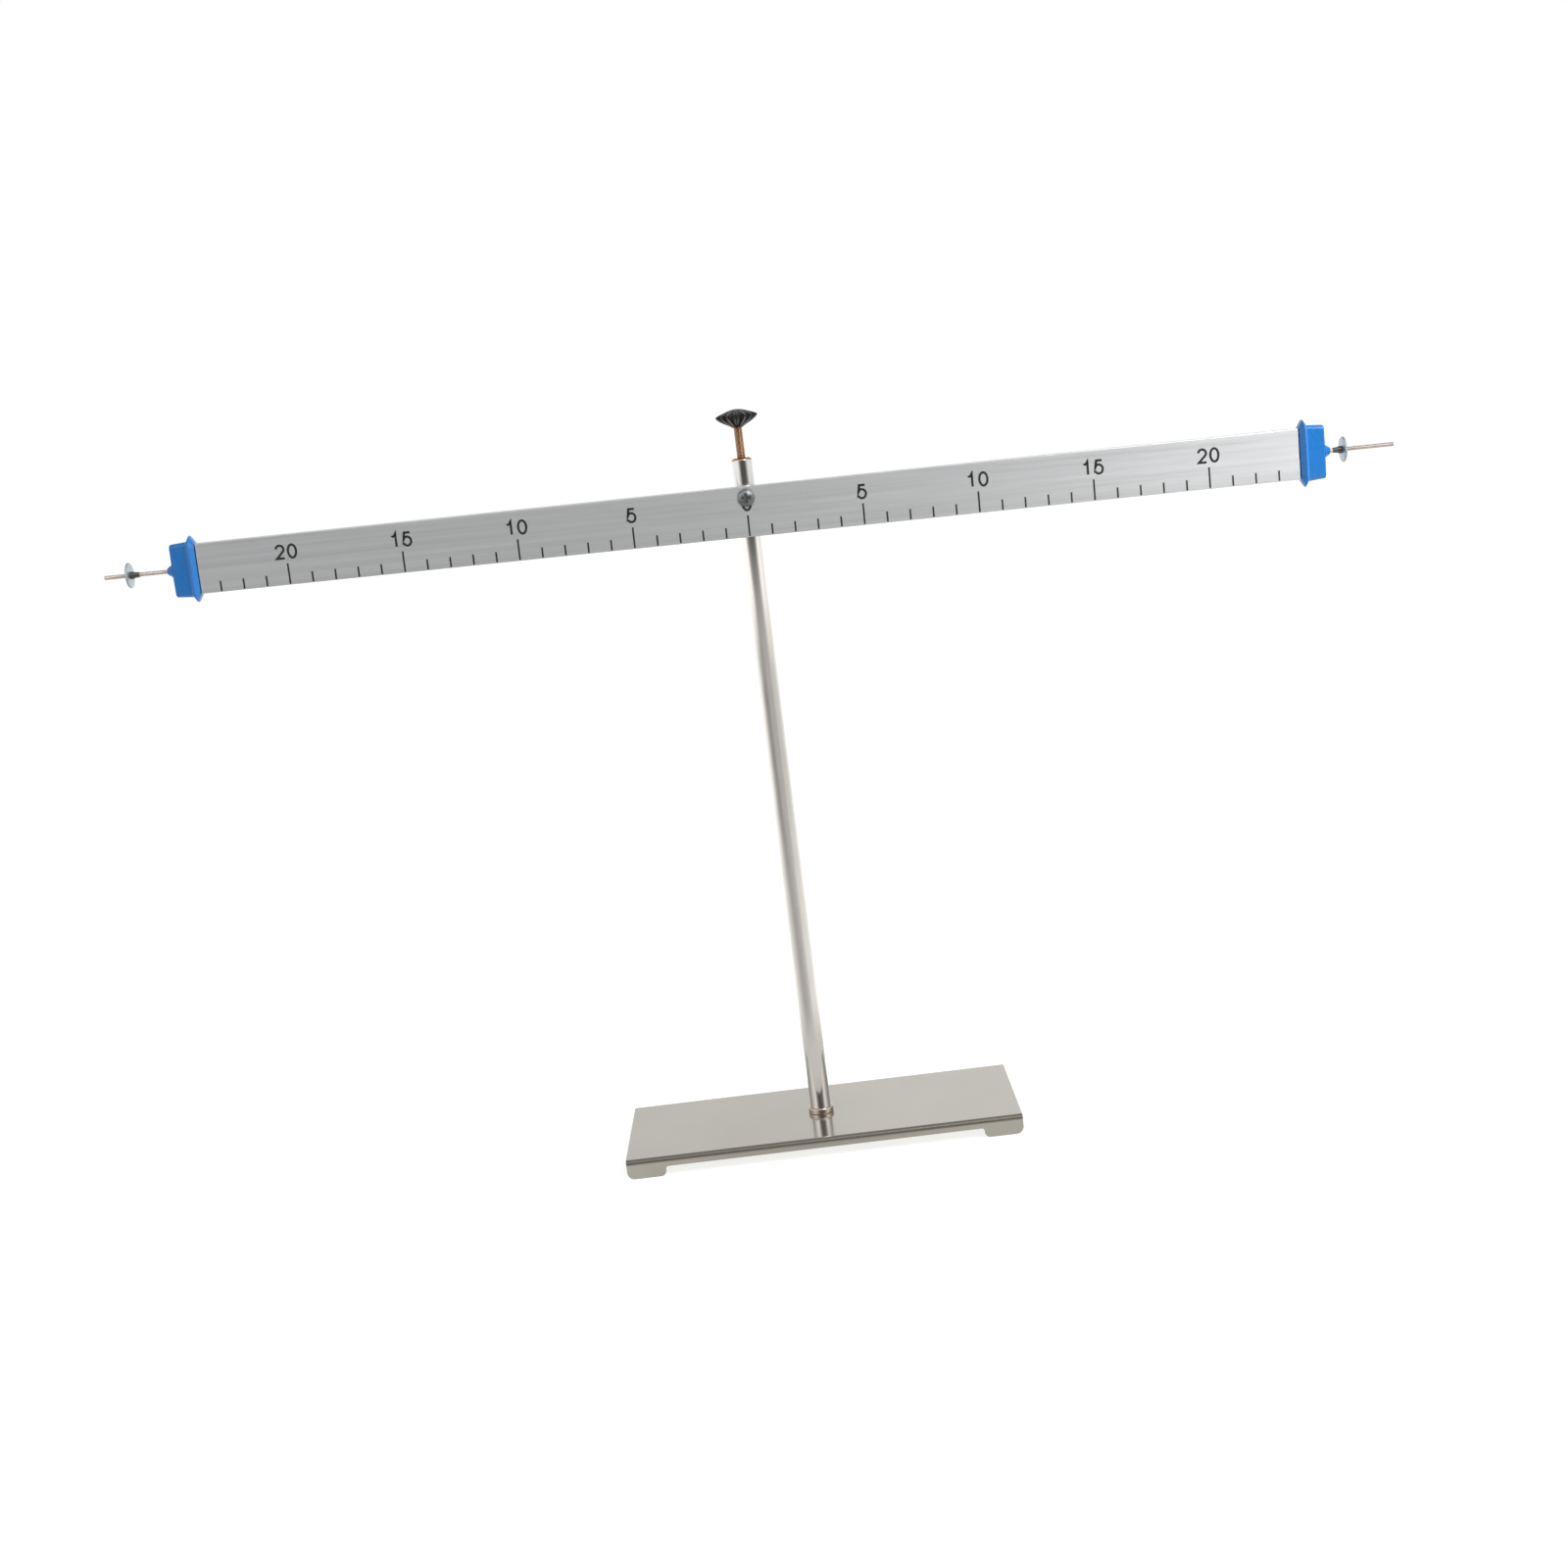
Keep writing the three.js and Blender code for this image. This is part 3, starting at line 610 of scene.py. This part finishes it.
def pivotBush():
    # barrel with a flange towards the rod, edges eased
    flange, foot, top = reach("pivot_bush", pivotPlace)
    bore, barrel, edge = bush["bore"], bush["barrel"], bush["edge"]
    shoulder = reach("beam_tube", pivotPlace)[1] - bush["shoulderGap"]
    return turned(profileFrom(
        (bore, foot), (flange - edge, foot), (flange, foot + edge), (flange, shoulder - edge),
        (flange - edge, shoulder), (barrel, shoulder), (barrel, top), (bore, top), (bore, foot)),
        bush["sides"])


makePiece("pivot_flanged_bush", pivotBush(), pivotPlace, brass, "beam", ["pivot_bush"])


# Beam: brushed tube

tube = {"wall": 1.2, "corner": 0.45, "innerCorner": 0.2, "arcSteps": 7, "lengthSteps": 49, "edge": 0.1,
        "grainUnit": 100}  # the last is the length that one unit of the grain map covers


def roundedRing(halfWidth, halfHeight, corner, steps):
    # rounded rectangles, a row for each size: each corner's centre plus its radius times (cos, sin)
    angle = np.radians(np.arange(-90, 270, 90)[:, None] + np.linspace(0, 90, steps)).ravel()
    signX, signY = np.repeat([1, 1, -1, -1], steps), np.repeat([-1, 1, 1, -1], steps)
    halfWidth, halfHeight, corner = halfWidth[:, None], halfHeight[:, None], corner[:, None]
    return (signX * (halfWidth - corner) + corner * np.cos(angle),
            signY * (halfHeight - corner) + corner * np.sin(angle))


def beamTube():
    # rounded section carried along the beam, back through the inside, and closed on itself
    half = (tubeHigh - tubeLow) / 2
    wall, edge, corner, innerCorner = (tube[name] for name in ("wall", "edge", "corner", "innerCorner"))
    along = np.linspace(tubeLow[0] + edge, tubeHigh[0] - edge, tube["lengthSteps"])
    stations = profileFrom(
        (tubeLow[0], edge, corner), np.stack([along, 0 * along, 0 * along + corner], axis=1),
        (tubeHigh[0], edge, corner), (tubeHigh[0], wall, innerCorner), (tubeLow[0], wall, innerCorner))
    y, z = roundedRing(half[1] - stations[:, 1], half[2] - stations[:, 1], stations[:, 2], tube["arcSteps"])
    x = np.broadcast_to(stations[:, :1], y.shape)
    return gridPart(np.stack([x, y + tubeMiddle[1], z + tubeMiddle[2]], axis=-1), wrapRows=True)


def addGrainMap(piece, place):
    # UV in which U runs up the beam, so that the sheen spreads across the grain
    mesh = piece.data
    corners = np.empty(len(mesh.loops), np.int32)
    mesh.loops.foreach_get("vertex_index", corners)
    local = (meshPoints(mesh) - place[:3, 3]) @ place[:3, :3]
    uv = np.stack([local[corners, 2] + local[corners, 1], local[corners, 0]], axis=1) / tube["grainUnit"]
    mesh.uv_layers.new(name="grain").data.foreach_set("uv", uv.astype(np.float32).ravel())


addGrainMap(makePiece("beam_brushed_tube", beamTube(), beamPlace, alloy, "beam",
                      ["beam_tube"]), beamPlace)


# Scale printed on the front face

scale = {"pitch": 10, "lastMark": 23, "lastNumber": 20, "longEvery": 5, "shortTop": 4.9, "longTop": 9.4,
         "start": 0.45, "lineWidth": 0.78, "inkDepth": 0.03, "digitBase": 11.15, "digitHeight": 6.6,
         "digitWidth": 4.45, "digitGap": 0.8, "stroke": 1.0}

# a slab one wide, deep and high, which stands on its origin
slabCorners = np.array([[x, y, z] for x in (-0.5, 0.5) for y in (0, 1) for z in (0, 1)], float)
slabFaces = np.array([[0, 1, 3, 2], [4, 6, 7, 5], [0, 4, 5, 1], [2, 3, 7, 6], [0, 2, 6, 4], [1, 5, 7, 3]])


def scaleMarks():
    # one thin slab for each mark: its place is the mark's number times the pitch
    parts = []
    for number in range(-scale["lastMark"], scale["lastMark"] + 1):
        top = scale["shortTop"] if number % scale["longEvery"] else scale["longTop"]
        size = [scale["lineWidth"], scale["inkDepth"], top - scale["start"]]
        origin = [number * scale["pitch"], tubeLow[1] - scale["inkDepth"], tubeLow[2] + scale["start"]]
        parts.append((slabCorners * size + origin, slabFaces))
    return joined(parts)


def digitPath(digit):
    # centre line of a digit in a box one wide and one high, as lines and arcs of ellipses
    def bow(centreX, centreY, radiusX, radiusY, start, stop, count):
        return circleArc((0, 0), 1, start, stop, count) * [radiusX, radiusY] + [centreX, centreY]

    if digit == "0":
        return bow(0.5, 0.5, 0.5, 0.5, 90, 450, 41)[:-1]
    if digit == "1":
        return profileFrom((0.16, 0.74), bow(0.14, 1.03, 0.46, 0.27, -85, -12, 8), (0.62, 1), (0.62, 0))
    if digit == "2":
        return profileFrom(bow(0.5, 0.7, 0.48, 0.3, 172, -30, 22), (0.62, 0.36), (0.04, 0), (1, 0))
    return profileFrom((0.92, 1), (0.2, 1), (0.08, 0.5), bow(0.48, 0.34, 0.5, 0.34, 128, -158, 28))


def strokePart(path, width, depth, closed):
    # rectangle carried along a flat path, with mitred corners: each side is the path plus or minus
    # half the width along the mean of the two neighbouring normals
    ahead = np.roll(path, -1, axis=0) - path
    behind = path - np.roll(path, 1, axis=0)
    if not closed:
        ahead[-1], behind[0] = behind[-1], ahead[0]
    unit = [d / np.linalg.norm(d, axis=1, keepdims=True) for d in (behind, ahead)]
    normals = [np.stack([-d[:, 1], d[:, 0]], axis=1) for d in unit]
    mitre = normals[0] + normals[1]
    mitre /= 1 + np.sum(normals[0] * normals[1], axis=1, keepdims=True)
    left, right = path + mitre * width / 2, path - mitre * width / 2
    flat = np.stack([left, right, right, left], axis=1)
    depths = np.broadcast_to(np.array([0, 0, depth, depth]), flat.shape[:2])
    points = np.stack([flat[..., 0], depths, flat[..., 1]], axis=-1)
    rows = len(path)
    faces = gridFaces(rows, 4, wrapRows=closed)
    if not closed:
        last = (rows - 1) * 4
        faces = np.concatenate([faces, [[0, 1, 2, 3], [last + 3, last + 2, last + 1, last]]])
    return points.reshape(-1, 3), faces


def scaleNumbers():
    # a digit's path fills its box but for half a stroke all round, and digits stand a pitch apart
    parts = []
    inner = np.array([scale["digitWidth"], scale["digitHeight"]]) - scale["stroke"]
    pitch = scale["digitWidth"] + scale["digitGap"]
    for mark in range(-scale["lastNumber"], scale["lastNumber"] + 1, scale["longEvery"]):
        digits = str(abs(mark))
        start = mark * scale["pitch"] - pitch * (len(digits) - 1) / 2
        for place, digit in enumerate(digits):
            path = (digitPath(digit) - [0.5, 0]) * inner
            path += [start + place * pitch, tubeLow[2] + scale["digitBase"] + scale["stroke"] / 2]
            points, faces = strokePart(path, scale["stroke"], scale["inkDepth"], digit == "0")
            parts.append((points + [0, tubeLow[1] - scale["inkDepth"], 0], faces))
    return joined(parts)


makePiece("scale_marks", scaleMarks(), beamPlace, ink, "beam")
makePiece("scale_numbers", scaleNumbers(), beamPlace, ink, "beam")
print("beam and scale made")


# End caps

# heights run outward from the end of the tube, and half sizes are depth and height of the section
cap = {"plugLength": 12, "plugHalf": np.array([2.0, 9.45]), "plugEdge": 0.4, "plugCorner": 0.6,
       "lipStart": 0.4, "lipOver": 0.35, "lipEdge": 0.25, "lipCorner": 2.6, "crestEdge": 0.3,
       "crestMiddle": 2.5, "riseAngle": 135, "fallAngle": 40, "slopeEnd": 3.5, "rimCorner": 5.3,
       "fillet": 0.3, "bodyEnd": 11.2, "rootHalf": np.array([4.7, 12.0]), "tipHalf": np.array([4.1, 11.5]),
       "bodyCorner": 2.0, "tipEdge": 0.8, "tipAngle": 80, "bossEnd": 14.0, "bossRoot": 2.9, "bossTip": 1.7,
       "bossFillet": 0.8, "bossEdge": 0.35, "bossAngle": 60, "bore": 1.12, "arcSteps": 6, "ringSteps": 10}


def capStations(rim):
    # rows of (height, half depth, half height, corner) from the plug, up the rim's slope and over its crest,
    # along the body that narrows to its end, and over the boss into the bore
    rows = []

    def add(height, half, corner):
        # half is the half sizes of depth and height, or one for a circle
        rows.append((height, *np.broadcast_to(half, 2), corner))

    def addArc(centre, radius, start, stop, half, corner):
        # half and corner are where the arc reaches furthest out, or in, where its radius is negative
        for height, grow in circleArc((centre, -radius), radius, start, stop, cap["arcSteps"]):
            add(height, half + grow, corner + grow)

    bore, plug, edge, corner = cap["bore"], cap["plugHalf"], cap["plugEdge"], cap["plugCorner"]
    add(-cap["plugLength"], bore, bore)
    add(-cap["plugLength"], plug - edge, corner - edge)
    add(edge - cap["plugLength"], plug, corner)
    add(cap["lipStart"], plug, corner)
    rise, fall, boss, body = cap["riseAngle"], cap["fallAngle"], cap["bossAngle"], cap["bodyCorner"]
    lip = (tubeHigh - tubeLow)[1:] / 2 + cap["lipOver"]
    addArc(cap["lipStart"] + cap["lipEdge"], cap["lipEdge"], 180, rise, lip, cap["lipCorner"])
    addArc(cap["crestMiddle"], cap["crestEdge"], rise, fall, rim, cap["rimCorner"])
    addArc(cap["slopeEnd"] + cap["fillet"], -cap["fillet"], fall, 90, cap["rootHalf"], body)
    addArc(cap["bodyEnd"] - cap["tipEdge"], cap["tipEdge"], cap["tipAngle"], 0, cap["tipHalf"], body)
    addArc(cap["bodyEnd"] + cap["bossFillet"], -cap["bossFillet"], 0, boss, cap["bossRoot"], cap["bossRoot"])
    addArc(cap["bossEnd"] - cap["bossEdge"], cap["bossEdge"], boss, 0, cap["bossTip"], cap["bossTip"])
    add(cap["bossEnd"], bore, bore)
    return np.array(rows)


def endCap(side):
    # rounded section carried outward through the stations, over the boss and back through the bore
    low, high = extent(side + "_end_cap", endPlace(side))
    stations = capStations((high - low)[:2] / 2)
    x, y = roundedRing(stations[:, 1], stations[:, 2], stations[:, 3], cap["ringSteps"])
    return gridPart(np.stack([x, y, np.broadcast_to(stations[:, :1], x.shape)], axis=-1), wrapRows=True)


# Adjuster rods and balance nuts

adjuster = {"radius": 0.95, "pitch": 0.4, "depth": 0.12, "chamfer": 0.3, "start": 15.5, "anchorGap": 0.05,
            "sides": 20, "perTurn": 7}
disc = {"bore": 1.1, "seat": 2.2, "taper": 0.25, "edge": 0.25, "teeth": 60, "toothDepth": 0.1,
        "toothSteps": 6}
hub = {"bore": 1.0, "root": 1.6, "nose": 1.1, "neck": 1.35, "edge": 0.08, "rootLength": 0.9,
       "stepLength": 0.2, "seat": 0.25, "sides": 64}


def balanceDisc(side):
    # thin disc, flat round its hub and tapered towards a rim with fine straight teeth
    radius, foot, top = reach(side + "_balance_disc", endPlace(side))
    bore, seat, edge, taper = disc["bore"], disc["seat"], disc["edge"], disc["taper"]

    def teeth(angle, rings):
        return -disc["toothDepth"] * (rings > radius - edge / 2) * (1 - np.cos(disc["teeth"] * angle)) / 2

    return turned(profileFrom(
        (bore, foot), (seat, foot), (radius - edge, foot + taper), (radius, foot + taper + edge),
        (radius, top - taper - edge), (radius - edge, top - taper), (seat, top), (bore, top), (bore, foot)),
        disc["teeth"] * disc["toothSteps"], teeth)


def balanceHub(side):
    # cone that narrows to its nose, with a small step before the disc
    _, foot, end = reach(side + "_balance_hub", endPlace(side))
    bore, root, nose, neck, edge = (hub[name] for name in ("bore", "root", "nose", "neck", "edge"))
    step, top = end - hub["rootLength"], end + hub["seat"]
    return turned(profileFrom(
        (bore, foot), (nose - edge, foot), (nose, foot + edge), (neck, step - hub["stepLength"]),
        (root, step), (root, top), (bore, top), (bore, foot)), hub["sides"])


for side in ("left", "right"):
    place = endPlace(side)
    makePiece(side + "_cap_moulding", endCap(side), place, blue, "beam",
              [side + "_end_cap"])
    makePiece(side + "_threaded_rod", threadPart(adjuster, side + "_adjuster_rod", place), place, rodPlate,
              "beam", [side + "_adjuster_rod"], sharpAngle=60)
    anchorNut = hexNutPart(side + "_anchor_nut", place, adjuster["radius"] + adjuster["anchorGap"])
    makePiece(side + "_anchor_hex_nut", anchorNut, place, zinc, "beam",
              [side + "_anchor_nut"])
    makePiece(side + "_nut_disc", balanceDisc(side), place, discZinc, side + "_nut_disc",
              [side + "_balance_disc"], sharpAngle=40)
    makePiece(side + "_nut_hub", balanceHub(side), place, hubMetal, side + "_nut_hub",
              [side + "_balance_hub"])
print("beam ends made")


# Thumb screw

stud = {"radius": 1.9, "pitch": 0.7, "depth": 0.18, "chamfer": 0.6, "sides": 32, "perTurn": 10}
# the outline's radii are shares of the knob's radius, and its heights of the height below or above its rim
knob = {"ribs": 16, "stepsPerRib": 14, "fluteDepth": 0.9, "fluteRound": 0.8, "bore": 1.95,
        "shaftDepth": 5.3, "fadeStart": 2.6, "rimShare": 0.62,
        "lowerShares": [(0.24, 1.0), (0.29, 0.94), (0.37, 0.84), (0.51, 0.70), (0.66, 0.56), (0.79, 0.41),
                        (0.90, 0.26), (0.97, 0.13), (1.0, 0.04)],
        "upperShares": [(0.99, 0.08), (0.94, 0.18), (0.85, 0.31), (0.72, 0.46), (0.58, 0.61), (0.45, 0.75),
                        (0.32, 0.87), (0.20, 0.95), (0.10, 0.985)]}


def thumbKnob():
    # outline of two bulging cones that meet at a narrow rim, fluted: r falls by d ((1 - cos(n a)) / 2)^p,
    # less and less towards the middle, and hollow below for the stud
    radius, foot, top = reach("thumb_knob", standPlace)
    seat, rim = foot + knob["shaftDepth"], foot + knob["rimShare"] * (top - foot)
    lower = np.array(knob["lowerShares"]) * [radius, foot - rim] + [0, rim]
    upper = np.array(knob["upperShares"]) * [radius, top - rim] + [0, rim]
    profile = profileFrom(lower, upper, (0, top), (0, seat), (knob["bore"], seat), (knob["bore"], foot),
                          lower[0])

    def flutes(angle, rings):
        strength = np.clip((rings - knob["fadeStart"]) / (radius - knob["fadeStart"]), 0, 1)
        groove = (1 - np.cos(knob["ribs"] * angle)) / 2
        return -knob["fluteDepth"] * (strength * groove) ** knob["fluteRound"]

    return turned(profile, knob["ribs"] * knob["stepsPerRib"], flutes)


makePiece("thumb_threaded_stud", threadPart(stud, "thumb_stud", standPlace), standPlace, brass,
          "thumb_screw_stud", ["thumb_stud"], sharpAngle=60)
makePiece("thumb_ribbed_knob", thumbKnob(), standPlace, black, "thumb_screw_knob",
          ["thumb_knob"], sharpAngle=50)
print("thumb screw made")


# Camera

view = {"place": (8.67, -885.9, 323.0), "yaw": -0.4835, "pitch": 10.21, "roll": -6.975,
        "lens": 46.0, "sensor": 36.0, "clipStart": 0.01}


def addCamera():
    yaw, pitch, roll = (math.radians(view[name]) for name in ("yaw", "pitch", "roll"))
    ahead = np.array([math.sin(yaw) * math.cos(pitch), math.cos(yaw) * math.cos(pitch), -math.sin(pitch)])
    level = np.array([math.cos(yaw), -math.sin(yaw), 0])
    above = np.cross(level, ahead)
    right = level * math.cos(roll) + above * math.sin(roll)
    top = above * math.cos(roll) - level * math.sin(roll)
    data = bpy.data.cameras.new("camera")
    data.lens, data.sensor_width, data.clip_start = view["lens"], view["sensor"], view["clipStart"]
    place = placeFrom(np.array(view["place"]) * mm, right, top, -ahead)
    scene.camera = addObject("camera", data, place)


# Room: white behind and beside the piece, a darker room on the camera's side

# levels by direction, around by degrees from the front towards +X: low is what upright metal mirrors near
# its own height, high what it mirrors from above, front replaces both on the camera's side by height,
# and plain is the light on everything that isn't a mirror
room = {"low": [(-180, 1.45), (-140, 1.42), (-60, 1.33), (60, 1.15), (100, 1.15), (140, 1.33), (180, 1.45)],
        "high": [(-180, 0.94), (-150, 0.94), (-115, 0.75), (-84, 1.4), (-57, 2.0), (57, 2.2), (86, 1.2),
                 (110, 0.65), (130, 0.65), (152, 1.02), (180, 1.02)],
        "highOver": (0.10, 0.24),
        "frontShare": [(-54, 0.0), (-12, 1.0), (24, 1.0), (66, 0.0)],
        "front": [(0, 0.12), (0.22, 0.13), (0.36, 0.16), (0.50, 1.54), (0.84, 1.54), (0.97, 0.50)],
        "ceiling": 0.50, "ceilingOver": (0.45, 0.80), "plain": 0.72, "white": "ffffff"}


def fromFront(tree, vector):
    # angle of a direction or place from the front towards +X, as 0 to 1 for -180 to 180 degrees,
    # how far it reaches to the front, and its height
    split = addNode(tree, "ShaderNodeSeparateXYZ", [vector]).outputs
    ahead = addNode(tree, "ShaderNodeMath", [split["Y"], -1], operation="MULTIPLY").outputs[0]
    angle = addNode(tree, "ShaderNodeMath", [split["X"], ahead], operation="ARCTAN2").outputs[0]
    share = addNode(tree, "ShaderNodeMapRange", [angle, -math.pi, math.pi, *wholeRange]).outputs[0]
    return share, ahead, split["Z"]


def eased(ramp, stops, low=-180, high=180):
    # gives a ramp its levels, at stops that lie between low and high, and changes smoothly between them
    ramp.color_ramp.interpolation = "EASE"
    elements = ramp.color_ramp.elements
    while len(elements) < len(stops):
        elements.new(0.5)
    for element, (place, level) in zip(elements, stops):
        element.position = (place - low) / (high - low)
        element.color = (level, level, level, 1)
    return ramp.outputs["Color"]


def blended(tree, source, stretch, first, second):
    # the first level, and smoothly the second while the source runs through a stretch of its values
    share = addNode(tree, "ShaderNodeMapRange", [source, *stretch, *wholeRange],
                    interpolation_type="SMOOTHSTEP").outputs[0]
    return addNode(tree, "ShaderNodeMix", {0: share, 2: first, 3: second}).outputs[0]


def addWorld():
    world = bpy.data.worlds.new("studio")
    world.use_nodes = True
    tree = world.node_tree
    tree.nodes.clear()
    share, _, height = fromFront(tree, addNode(tree, "ShaderNodeTexCoord").outputs["Generated"])
    low, high, frontShare = (eased(addNode(tree, "ShaderNodeValToRGB", [share]), room[name])
                             for name in ("low", "high", "frontShare"))
    front = eased(addNode(tree, "ShaderNodeValToRGB", [height]), room["front"], *wholeRange)
    sides = blended(tree, height, room["highOver"], low, high)
    sides = blended(tree, height, room["ceilingOver"], sides, room["ceiling"])
    mirrored = addNode(tree, "ShaderNodeMix", {0: frontShare, 2: sides, 3: front}).outputs[0]
    ray = addNode(tree, "ShaderNodeLightPath").outputs
    level = addNode(tree, "ShaderNodeMix", {0: ray["Is Glossy Ray"], 2: room["plain"], 3: mirrored})
    final = addNode(tree, "ShaderNodeMix", {0: ray["Is Camera Ray"], 2: level.outputs[0], 3: 1}).outputs[0]
    glow = addNode(tree, "ShaderNodeBackground", {"Color": linear(room["white"]), "Strength": final})
    addNode(tree, "ShaderNodeOutputWorld", {"Surface": glow.outputs["Background"]})
    scene.world = world


# mirrored levels: three rings by degrees from the front, near, far and distant, each of which takes over
# along a stretch of the distance from the middle in metres, and before them, beside the base, two levels
# that the flanges mirror; dark takes over by the distance in front of the middle
floor = {"half": 6000, "white": "f4f4f2", "warm": "f4f2ee", "paintShare": 0.30, "seenLevel": 1.27,
         "glowOver": (0.35, 0.8),
         "near": [(-180, 1.0), (-140, 1.6), (-110, 1.35), (-80, 1.05), (-58, 0.84), (-40, 0.68), (-22, 0.68),
                  (0, 0.74), (25, 0.92), (50, 1.25), (100, 1.35), (140, 1.7), (180, 1.0)],
         "far": [(-180, 1.7), (-107, 1.65), (-91, 1.30), (-76, 0.92), (-60, 0.64), (-42, 0.48), (-28, 0.58),
                 (-12, 0.72), (26, 0.76), (45, 0.97), (80, 1.03), (103, 1.3), (130, 1.6), (180, 1.7)],
         "distant": [(-180, 1.9), (-66, 1.88), (-53, 1.60), (-41, 1.02), (-29, 0.76), (-17, 0.66), (6, 0.76),
                     (26, 0.80), (41, 1.20), (55, 1.75), (70, 1.80), (97, 1.5), (130, 1.75), (180, 1.9)],
         "beside": (0.78, 0.96), "besideOver": (0.05, 0.10), "nearOver": (0.12, 0.22),
         "farOver": (0.30, 1.0), "distantOver": (1.6, 3.2), "darkLevel": 0.14, "darkOver": (2.0, 5.0)}


def addFloor():
    # pale floor: nearly white of itself to the camera, so that only a soft shadow shows on it,
    # and to reflections a warm white that grows dark in the room behind the camera
    half = floor["half"] * mm
    mesh = bpy.data.meshes.new("floor")
    corners = [(-half, -half, 0), (half, -half, 0), (half, half, 0), (-half, half, 0)]
    mesh.from_pydata(corners, [], [(0, 1, 2, 3)])
    material, tree = blankMaterial("floor_white")
    place = addNode(tree, "ShaderNodeTexCoord").outputs["Object"]
    share, ahead, _ = fromFront(tree, place)
    far = addNode(tree, "ShaderNodeVectorMath", [place], operation="LENGTH").outputs["Value"]
    level = blended(tree, far, floor["besideOver"], *floor["beside"])
    for name in ("near", "far", "distant"):
        ring = eased(addNode(tree, "ShaderNodeValToRGB", [share]), floor[name])
        level = blended(tree, far, floor[name + "Over"], level, ring)
    level = blended(tree, ahead, floor["darkOver"], level, floor["darkLevel"])
    ray = addNode(tree, "ShaderNodeLightPath").outputs
    paint = addNode(tree, "ShaderNodeBsdfDiffuse", [linear(floor["white"])]).outputs["BSDF"]
    glow = addNode(tree, "ShaderNodeEmission", [linear(floor["white"]), floor["seenLevel"]]).outputs[0]
    glowShare = blended(tree, far, floor["glowOver"], 1 - floor["paintShare"], 1)
    seen = addNode(tree, "ShaderNodeMath", [ray["Is Camera Ray"], glowShare], operation="MULTIPLY")
    shown = addNode(tree, "ShaderNodeMixShader", [seen.outputs[0], paint, glow]).outputs[0]
    mirrored = addNode(tree, "ShaderNodeEmission", [linear(floor["warm"]), level]).outputs[0]
    surface = addNode(tree, "ShaderNodeMixShader", [ray["Is Glossy Ray"], shown, mirrored]).outputs[0]
    addNode(tree, "ShaderNodeOutputMaterial", {"Surface": surface})
    mesh.materials.append(material)
    piece = addObject("floor", mesh)


lamps = [
    {"name": "key", "azimuth": 37, "elevation": 38, "distance": 1710, "size": 700, "watts": 9.8,
     "mirrored": True},
    {"name": "fill", "azimuth": 72, "elevation": 30, "distance": 1050, "size": 500, "watts": 10,
     "mirrored": False},
    {"name": "top", "azimuth": 180, "elevation": 70, "distance": 1800, "size": 1400, "watts": 4,
     "mirrored": False},
]
lampAim = [0, 0, 200]


def addLamps():
    # azimuth is measured from the front towards +X
    for lamp in lamps:
        around, up = math.radians(lamp["azimuth"]), math.radians(lamp["elevation"])
        out = np.array([math.sin(around) * math.cos(up), -math.cos(around) * math.cos(up), math.sin(up)])
        across = np.cross(upright, out)
        across /= np.linalg.norm(across)
        data = bpy.data.lights.new(lamp["name"], "AREA")
        data.size, data.energy = lamp["size"] * mm, lamp["watts"]
        origin = (lampAim + out * lamp["distance"]) * mm
        place = placeFrom(origin, across, np.cross(out, across), out)
        addObject(lamp["name"], data, place).visible_glossy = lamp["mirrored"]


addCamera()
addWorld()
addFloor()
addLamps()
scene.view_settings.view_transform = "Standard"
print("camera, room and lamps made")
